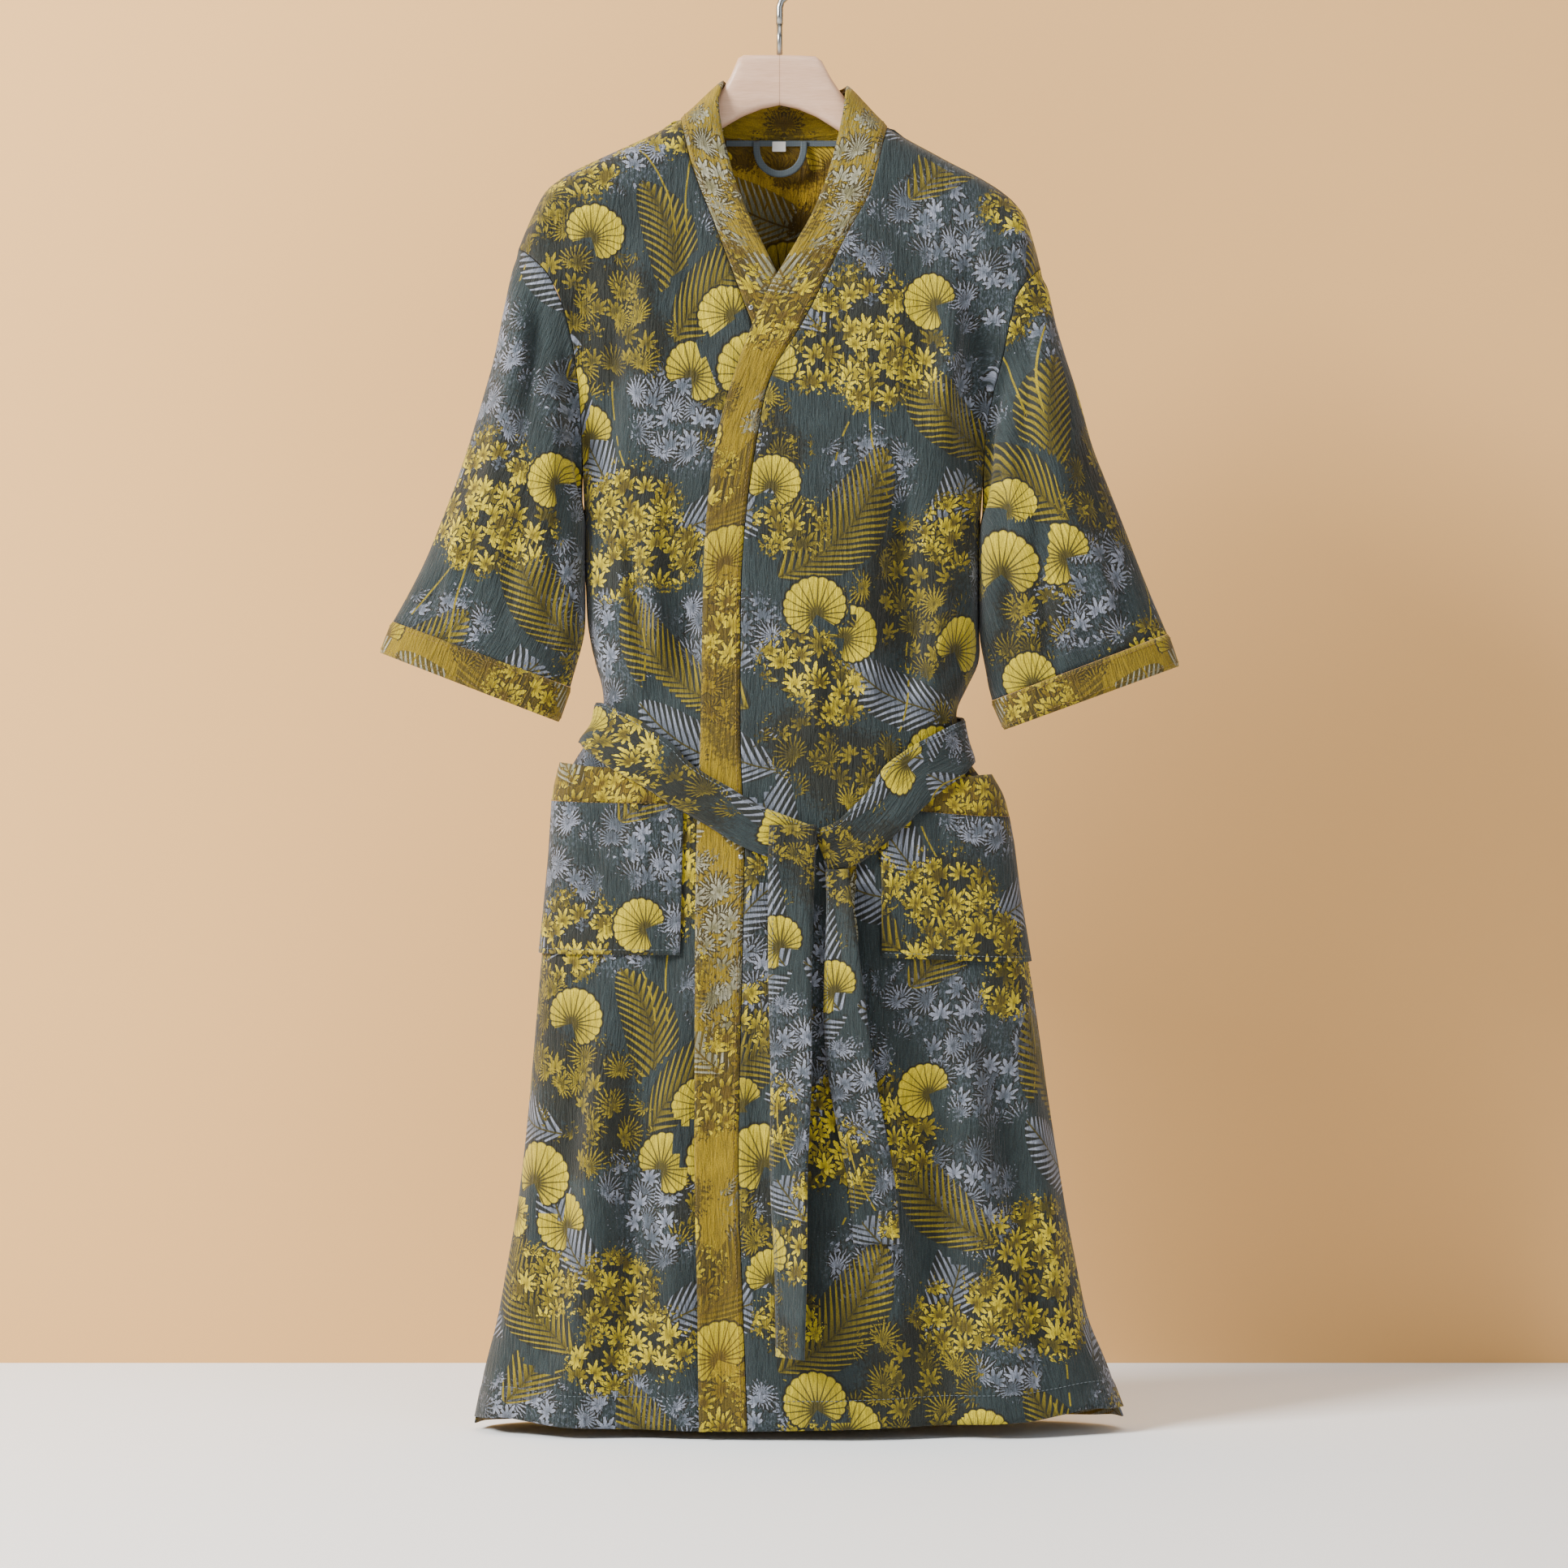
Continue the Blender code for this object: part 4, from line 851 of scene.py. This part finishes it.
def lacquered_wood():
    """Pale maple under satin lacquer: fine long grain along the hanger, with soft wide figure."""
    made, tree, shader = principled("satin_lacquered_maple", 0.42)
    put = partial(add, tree)
    flat = put("VectorMath MULTIPLY", put("TexCoord", out="Object"), PER_METRE)
    long = put("VectorMath MULTIPLY", flat, (0.035, 0.5, 0.5))
    figure = put("TexNoise", long, 0.35, 3.0, 0.6, 2.0, 0.8)
    grain = put("TexNoise", long, 2.4, 2.0, 0.6)
    mixed = put("MapRange", put("Math MULTIPLY", figure, grain), 0.12, 0.36, 0.0, 1.0)
    tone = put("Mix RGBA", mixed, linear(WOOD_DARK), linear(WOOD_LIGHT))
    # The two halves of the hanger are glued together in its middle
    joint = put("MapRange", put("Math ABSOLUTE", put("SeparateXYZ", flat)), 0.2, 0.6, 0.7, 0.0)
    tone = put("Mix RGBA", joint, tone, linear(WOOD_JOINT))
    tree.links.new(tone, shader.inputs["Base Color"])
    shader.inputs["Coat Weight"].default_value = 0.25
    shader.inputs["Coat Roughness"].default_value = 0.3
    tree.links.new(put("Bump", 0.2, 0.2 * MM, None, grain), shader.inputs["Normal"])
    return made


def brushed_steel():
    """Satin plated steel wire: fine drawing lines that break the reflection a little."""
    made, tree, shader = principled("satin_plated_steel", 0.3, metallic=1.0)
    put = partial(add, tree)
    flat = put("VectorMath MULTIPLY", put("TexCoord", out="Object"), (900.0, 900.0, 120.0))
    rough = put("MapRange", put("TexNoise", flat, 1.0, 2.0, 0.5), 0.3, 0.7, 0.24, 0.4)
    tree.links.new(rough, shader.inputs["Roughness"])
    shader.inputs["Base Color"].default_value = linear(STEEL)
    return made


def matte(name, colour, roughness=0.9):
    """Painted studio board, with the faintest mottling."""
    made, tree, shader = principled(name, roughness)
    put = partial(add, tree)
    cloud = put("TexNoise", put("TexCoord", out="Object"), 1.5, 2.0, 0.5)
    tone = put("VectorMath SCALE", linear(colour)[:3], put("MapRange", cloud, 0.3, 0.7, 0.97, 1.03))
    tree.links.new(tone, shader.inputs["Base Color"])
    return made


def one_sided(board):
    """The board's back lets a view from behind through to the robe."""
    tree = board.node_tree
    shader = tree.nodes["Principled BSDF"].outputs[0]
    clear = add(tree, "BsdfTransparent")
    behind = tree.nodes.new("ShaderNodeNewGeometry").outputs["Backfacing"]
    mixed = add(tree, "MixShader", behind, shader, clear)
    tree.links.new(mixed, tree.nodes["Material Output"].inputs["Surface"])
    return board


def finishes():
    """Every finish by name, made once."""
    if "gauze_face" in bpy.data.materials:
        return {m.name: m for m in bpy.data.materials}
    leaflet_group()
    greys, olives, yellows = (GREY_SHADE, GREY_LIT), (OLIVE_SHADE, OLIVE_LIT), (YELLOW_SHADE, YELLOW)
    settings = bpy.context.scene.robe
    jacquard("gauze_face", settings.ground, greys, olives, yellows, OUTLINE)
    mists, golds, bright = (GOLD_GREY, GOLD_MIST), (GOLD_SHADE, GOLD), (GOLD_SHADE, GOLD_PALE)
    jacquard("gauze_reverse", settings.reverse, mists, golds, bright, GOLD_DARK)
    # The inside faces take a lighter copy of the reverse, as painted light
    golds, bright = (INNER_LIT_DARK, INNER_LIT_SHADE), (INNER_LIT_SHADE, INNER_LIT_PALE)
    jacquard("gauze_inside", linear(INNER_LIT), mists, golds, bright, INNER_LIT_DARK)
    plain_weave("cotton_tape", TAPE_GREY, TAPE_DARK, 0.8)
    plain_weave("woven_label", LABEL_WHITE, LABEL_DARK, 0.5)
    plain_weave("thread_grey", THREAD_GREY, THREAD_GREY_DARK, 0.4, 0.6)
    plain_weave("thread_gold", THREAD_GOLD, THREAD_GOLD_DARK, 0.4, 0.6)
    lacquered_wood()
    brushed_steel()
    return {m.name: m for m in bpy.data.materials}


# Pieces


def panel(node, front):
    """A front or the back: its solid's outside with closer points, creases, and the doubled hem's edge."""
    grid, normals = surface(node, CLOTH, PANEL_CELL)
    from_hem = lengths(grid[::-1], 0)[::-1] / MM
    height = crease_height(grid, BODY_CREASES, front)
    from_edge = np.minimum(lengths(grid, 1), lengths(grid[:, ::-1], 1)[:, ::-1]) / MM
    height = height * ease(from_edge / 16) * ease(lengths(grid, 0) / MM / 20)
    height += 0.5 * MM * (from_hem < HEM) - 0.35 * MM * np.exp(-(((from_hem - HEM - 0.5) / 2) ** 2))
    return grid + normals * height[:, :, None], normals


class RobeSettings(bpy.types.PropertyGroup):
    """What a user would change on the robe."""

    crease_depth: bpy.props.FloatProperty(
        name="Crease depth", description="How deep the creases are against their table", default=1.5, min=0.0,
        max=3.0,
    )
    ground: bpy.props.FloatVectorProperty(
        name="Ground", description="Colour of the cloth behind its leaves", subtype="COLOR", size=4,
        min=0.0, max=1.0, default=linear(GROUND),
    )
    reverse: bpy.props.FloatVectorProperty(
        name="Reverse", description="Ground colour of the bands and cuffs", subtype="COLOR", size=4,
        min=0.0, max=1.0, default=linear(GOLD),
    )
    light_power: bpy.props.FloatProperty(
        name="Light power", description="Strength of the studio's key light", default=330.0, unit="POWER",
    )


class ROBE_OT_body(bpy.types.Operator):
    """Make the back and both fronts, with their hem stitching"""

    bl_idname = "robe.body"
    bl_label = "Back and fronts"

    def execute(self, context):
        made = finishes()
        for node in ("back", "front_right", "front_left"):
            front = node != "back"
            grid, normals = panel(node, front)
            uv = flow(grid) if front else flow(grid, shift=BACK_SHIFT)
            item = cloth(node + "_cloth", grid, uv, (made["gauze_face"], made["gauze_inside"]), CLOTH)
            row = len(grid) - 1 - nearest(lengths(grid[::-1], 0)[:, 2], HEM * MM)
            hem = stitches("stitching_hem_" + node, grid[row], normals[row], made["thread_grey"], 0.2 * MM)
            declare(item, node)
        return {"FINISHED"}


class ROBE_OT_bands(bpy.types.Operator):
    """Make the two lengths of the neck and front band"""

    bl_idname = "robe.bands"
    bl_label = "Neck and front bands"

    def execute(self, context):
        made = finishes()
        for node in ("band_right", "band_left"):
            grid, normals = surface(node, DOUBLED, SMALL_CELL)
            across, along = lengths(grid, 0), lengths(grid, 1)
            edge = np.minimum(across, across[-1:] - across) / MM
            height = 0.5 * MM * ease(edge / 3) + 0.35 * MM * np.sin(along / (9 * MM)) * np.sin(edge / 9)
            grid = grid + normals * height[:, :, None]
            # It meets its other half at the middle of the neck, and covers the back's upper edge
            grid[:, 0] += unit(grid[:, 0] - grid[:, 1]) * 0.2 * MM
            behind = ease(grid[-1, :, 1:2] / (10 * MM))
            grid[-1] += unit(grid[-1] - grid[-2]) * behind * 1.2 * MM
            uv = np.stack([across, -along], axis=2) + BAND_SHIFT
            item = cloth(node + "_cloth", grid, uv, (made["gauze_reverse"],), DOUBLED)
            inset = nearest(across[-1, 10] - across[:, 10], EDGE_INSET)
            seam = stitches("stitching_" + node, grid[inset], normals[inset], made["thread_gold"])
            declare(item, node)
        return {"FINISHED"}


class ROBE_OT_sleeves(bpy.types.Operator):
    """Make the sleeves and their turned-up cuffs"""

    bl_idname = "robe.sleeves"
    bl_label = "Sleeves and cuffs"

    def execute(self, context):
        made = finishes()
        for hand in ("right", "left"):
            node = "sleeve_" + hand
            grid, normals = surface(node, CLOTH, SMALL_CELL, tube=True)
            along = lengths(grid, 0)
            fade = ease(along / (24 * MM)) * ease((along[-1:] - along) / (16 * MM))
            # Its inner side swells until it rests against the body, down to where the two part
            inner = np.clip(-normals[:, :, 0] * np.sign(grid[:, :, 0]), 0, 1) ** 2
            swell = SWELL * inner * ease((grid[:, :, 2] + 0.655) / 0.05)
            height = crease_height(grid, SLEEVE_CREASES) + swell
            grid = grid + normals * (height * fade)[:, :, None]
            shift = (0.02, 0.20) if hand == "right" else (0.19, -0.16)
            uv = flow(grid, len(grid) // 2, shift)
            faces = (made["gauze_face"], made["gauze_inside"])
            item = cloth(node + "_cloth", grid, uv, faces, CLOTH, wraps=True)
            declare(item, node)
            node = "cuff_" + hand
            grid, normals = surface(node, DOUBLED, SMALL_CELL, tube=True)
            across = lengths(grid, 0)
            edge = np.minimum(across, across[-1:] - across) / MM
            around = lengths(grid, 1)
            height = 0.9 * MM * ease(edge / 3) + 0.3 * MM * np.sin(around / (8 * MM))
            grid = grid + normals * height[:, :, None]
            uv = np.stack([around, -across], axis=2) + CUFF_SHIFT
            item = cloth(node + "_cloth", grid, uv, (made["gauze_reverse"],), DOUBLED, wraps=True)
            for name, inset in CUFF_INSETS.items():
                row = nearest(across[:, 0], inset)
                ring = np.concatenate([grid[row], grid[row][:1]])
                ways = np.concatenate([normals[row], normals[row][:1]])
                seam = f"stitching_cuff_{hand}_{name}"
                stitches(seam, ring, ways, made["thread_gold"])
            declare(item, node)
        return {"FINISHED"}


class ROBE_OT_pockets(bpy.types.Operator):
    """Make the patch pockets and their bands"""

    bl_idname = "robe.pockets"
    bl_label = "Pockets"

    def execute(self, context):
        made = finishes()
        for hand in ("right", "left"):
            for part, finish in (("pocket_", "gauze_face"), ("pocket_band_", "gauze_reverse")):
                node = part + hand
                grid, normals = surface(node, CLOTH, SMALL_CELL)
                across, along = lengths(grid, 0), lengths(grid, 1)
                height = crease_height(grid, BODY_CREASES, True) * 0.5 * ease(across / (10 * MM))
                grid = grid + normals * (height + 0.3 * MM)[:, :, None]
                uv = np.stack([along, -across], axis=2) + POCKET_BAND_SHIFT
                if part == "pocket_":
                    uv = flow(grid, shift=POCKET_SHIFTS[hand])
                item = cloth(node + "_cloth", grid, uv, (made[finish],), CLOTH)
                inset = 3 if part == "pocket_" else 0.8
                row = len(grid) - 1 - nearest(across[-1, 3] - across[::-1, 3], inset * MM)
                thread = "thread_grey" if part == "pocket_" else "thread_gold"
                seam = stitches("stitching_" + node, grid[row], normals[row], made[thread])
                declare(item, node)
        return {"FINISHED"}


class ROBE_OT_belt(bpy.types.Operator):
    """Make the belt round the waist and its two hanging ends"""

    bl_idname = "robe.belt"
    bl_label = "Belt"

    def execute(self, context):
        made = finishes()
        for node in ("belt_round", "belt_tail_long", "belt_tail_short"):
            grid = shell_grid(node, DOUBLED)
            if len(grid) > grid.shape[1]:
                grid = np.moveaxis(grid, 0, 1)
            grid = finer(grid, SMALL_CELL)
            normals = outward_normals(grid)
            across, along = lengths(grid, 0), lengths(grid, 1)
            share = across / across[-1:]
            wander = 0.6 * np.sin(along / (60 * MM))
            ridges = np.sin(share * 9.4 + wander) * (0.7 + 0.5 * np.sin(along / (37 * MM)))
            round_edge = ease(np.minimum(share, 1 - share) / 0.08)
            grid = grid + normals * (MM * (0.8 * ridges + 0.5) * round_edge)[:, :, None]
            uv = np.stack([across, -along], axis=2)
            item = cloth(node + "_cloth", grid, uv, (made["gauze_face"],), DOUBLED)
            inset = nearest(across[:, 5], EDGE_INSET)
            seam = stitches("stitching_" + node, grid[inset], normals[inset], made["thread_grey"], 0.1 * MM)
            declare(item, node)
        return {"FINISHED"}


class ROBE_OT_trims(bpy.types.Operator):
    """Finish the hanging loop, the neck tape, the bare label, the studs, the hanger and its hook"""

    bl_idname = "robe.trims"
    bl_label = "Loop, label, studs and hanger"

    def execute(self, context):
        made = finishes()
        grid = finer(shell_grid("hanging_loop", TAPE), 2 * MM)
        uv = np.stack([lengths(grid, 1), lengths(grid, 0)], axis=2)
        item = cloth("hanging_loop_tape", grid, uv, (made["cotton_tape"],), TAPE)
        dress(item, "hanging_loop")
        for node, finish in TRIMS:
            shell = packed(node)
            mesh = bpy.data.meshes.new(node + "_finish")
            shell.to_mesh(mesh)
            shell.free()
            mesh.materials.append(made[finish])
            mesh.shade_smooth()
            mesh.set_sharp_from_angle(angle=math.radians(50))
            dress(put_in_scene(node + "_finish", mesh), node)
        return {"FINISHED"}


class ROBE_OT_stage(bpy.types.Operator):
    """Set the floor, the backdrop, the soft lights and the camera"""

    bl_idname = "robe.stage"
    bl_label = "Studio"

    def execute(self, context):
        wide, deep, high = 9.0, 6.0, 4.5
        floor_z, wall_y = -1.326, 0.42
        floor, wall = matte("floor_board", FLOOR), one_sided(matte("wall_board", WALL))
        for name, place, length, tilt, finish in (
            ("floor", (0, wall_y - deep / 2, floor_z), deep, 0, floor),
            ("backdrop", (0, wall_y, floor_z + high / 2), high, math.pi / 2, wall),
        ):
            bpy.ops.mesh.primitive_plane_add(size=1, location=place, rotation=(tilt, 0, 0))
            board = context.object
            board.name = name
            board.scale = (wide, length, 1)
            board.data.materials.append(finish)
        target, power = Vector((0.0, 0.0, -0.7)), context.scene.robe.light_power
        for name, place, size, share, colour in (
            ("key", (-2.8, -1.8, 1.25), 1.2, 1.0, (1.0, 0.985, 0.96)),
            ("fill", (2.4, -2.8, 0.2), 2.4, 0.1, (0.95, 0.97, 1.0)),
            ("top", (0.2, -0.6, 2.2), 2.0, 0.14, (1.0, 0.98, 0.95)),
        ):
            bpy.ops.object.light_add(type="AREA", location=place)
            lamp = context.object
            lamp.name = name
            lamp.data.size = size
            lamp.data.energy = power * share
            lamp.data.color = colour
            lamp.rotation_mode = "QUATERNION"
            lamp.rotation_quaternion = (target - Vector(place)).to_track_quat("-Z", "Y")
        world = bpy.data.worlds.new("studio")
        world.use_nodes = True
        sky = world.node_tree.nodes["Background"].inputs
        sky["Color"].default_value = (0.9, 0.93, 1.0, 1.0)
        sky["Strength"].default_value = 0.22
        context.scene.world = world
        camera = bpy.data.cameras.new("camera")
        view = put_in_scene("camera", camera)
        distance, width = 3.6, 1.388
        camera.lens = camera.sensor_width * distance / width
        view.location = (0.004, -0.04 - distance, -0.748)
        view.rotation_euler = (math.pi / 2, 0.0, 0.0)
        camera.clip_start, camera.clip_end = 0.05, 30.0
        context.scene.camera = view
        return {"FINISHED"}


class ROBE_PT_panel(bpy.types.Panel):
    """The robe's pieces, in the order they are made"""

    bl_idname = "ROBE_PT_panel"
    bl_label = "Robe"
    bl_space_type = "VIEW_3D"
    bl_region_type = "UI"
    bl_category = "Robe"

    def draw(self, context):
        settings = context.scene.robe
        for name in RobeSettings.__annotations__:
            self.layout.prop(settings, name)
        for operator in OPERATORS:
            self.layout.operator(operator.bl_idname)


PIECES = (ROBE_OT_body, ROBE_OT_bands, ROBE_OT_sleeves, ROBE_OT_pockets, ROBE_OT_belt)
OPERATORS = (*PIECES, ROBE_OT_trims, ROBE_OT_stage)
CLASSES = (RobeSettings, *OPERATORS, ROBE_PT_panel)


def register():
    for item in CLASSES:
        bpy.utils.register_class(item)
    bpy.types.Scene.robe = bpy.props.PointerProperty(type=RobeSettings)


def unregister():
    del bpy.types.Scene.robe
    for item in reversed(CLASSES):
        bpy.utils.unregister_class(item)


def main():
    register()
    bpy.ops.object.select_all(action="DESELECT")
    for name in ("body", "bands", "sleeves", "pockets", "belt", "trims", "stage"):
        getattr(bpy.ops.robe, name)()


if __name__ == "__main__":
    main()
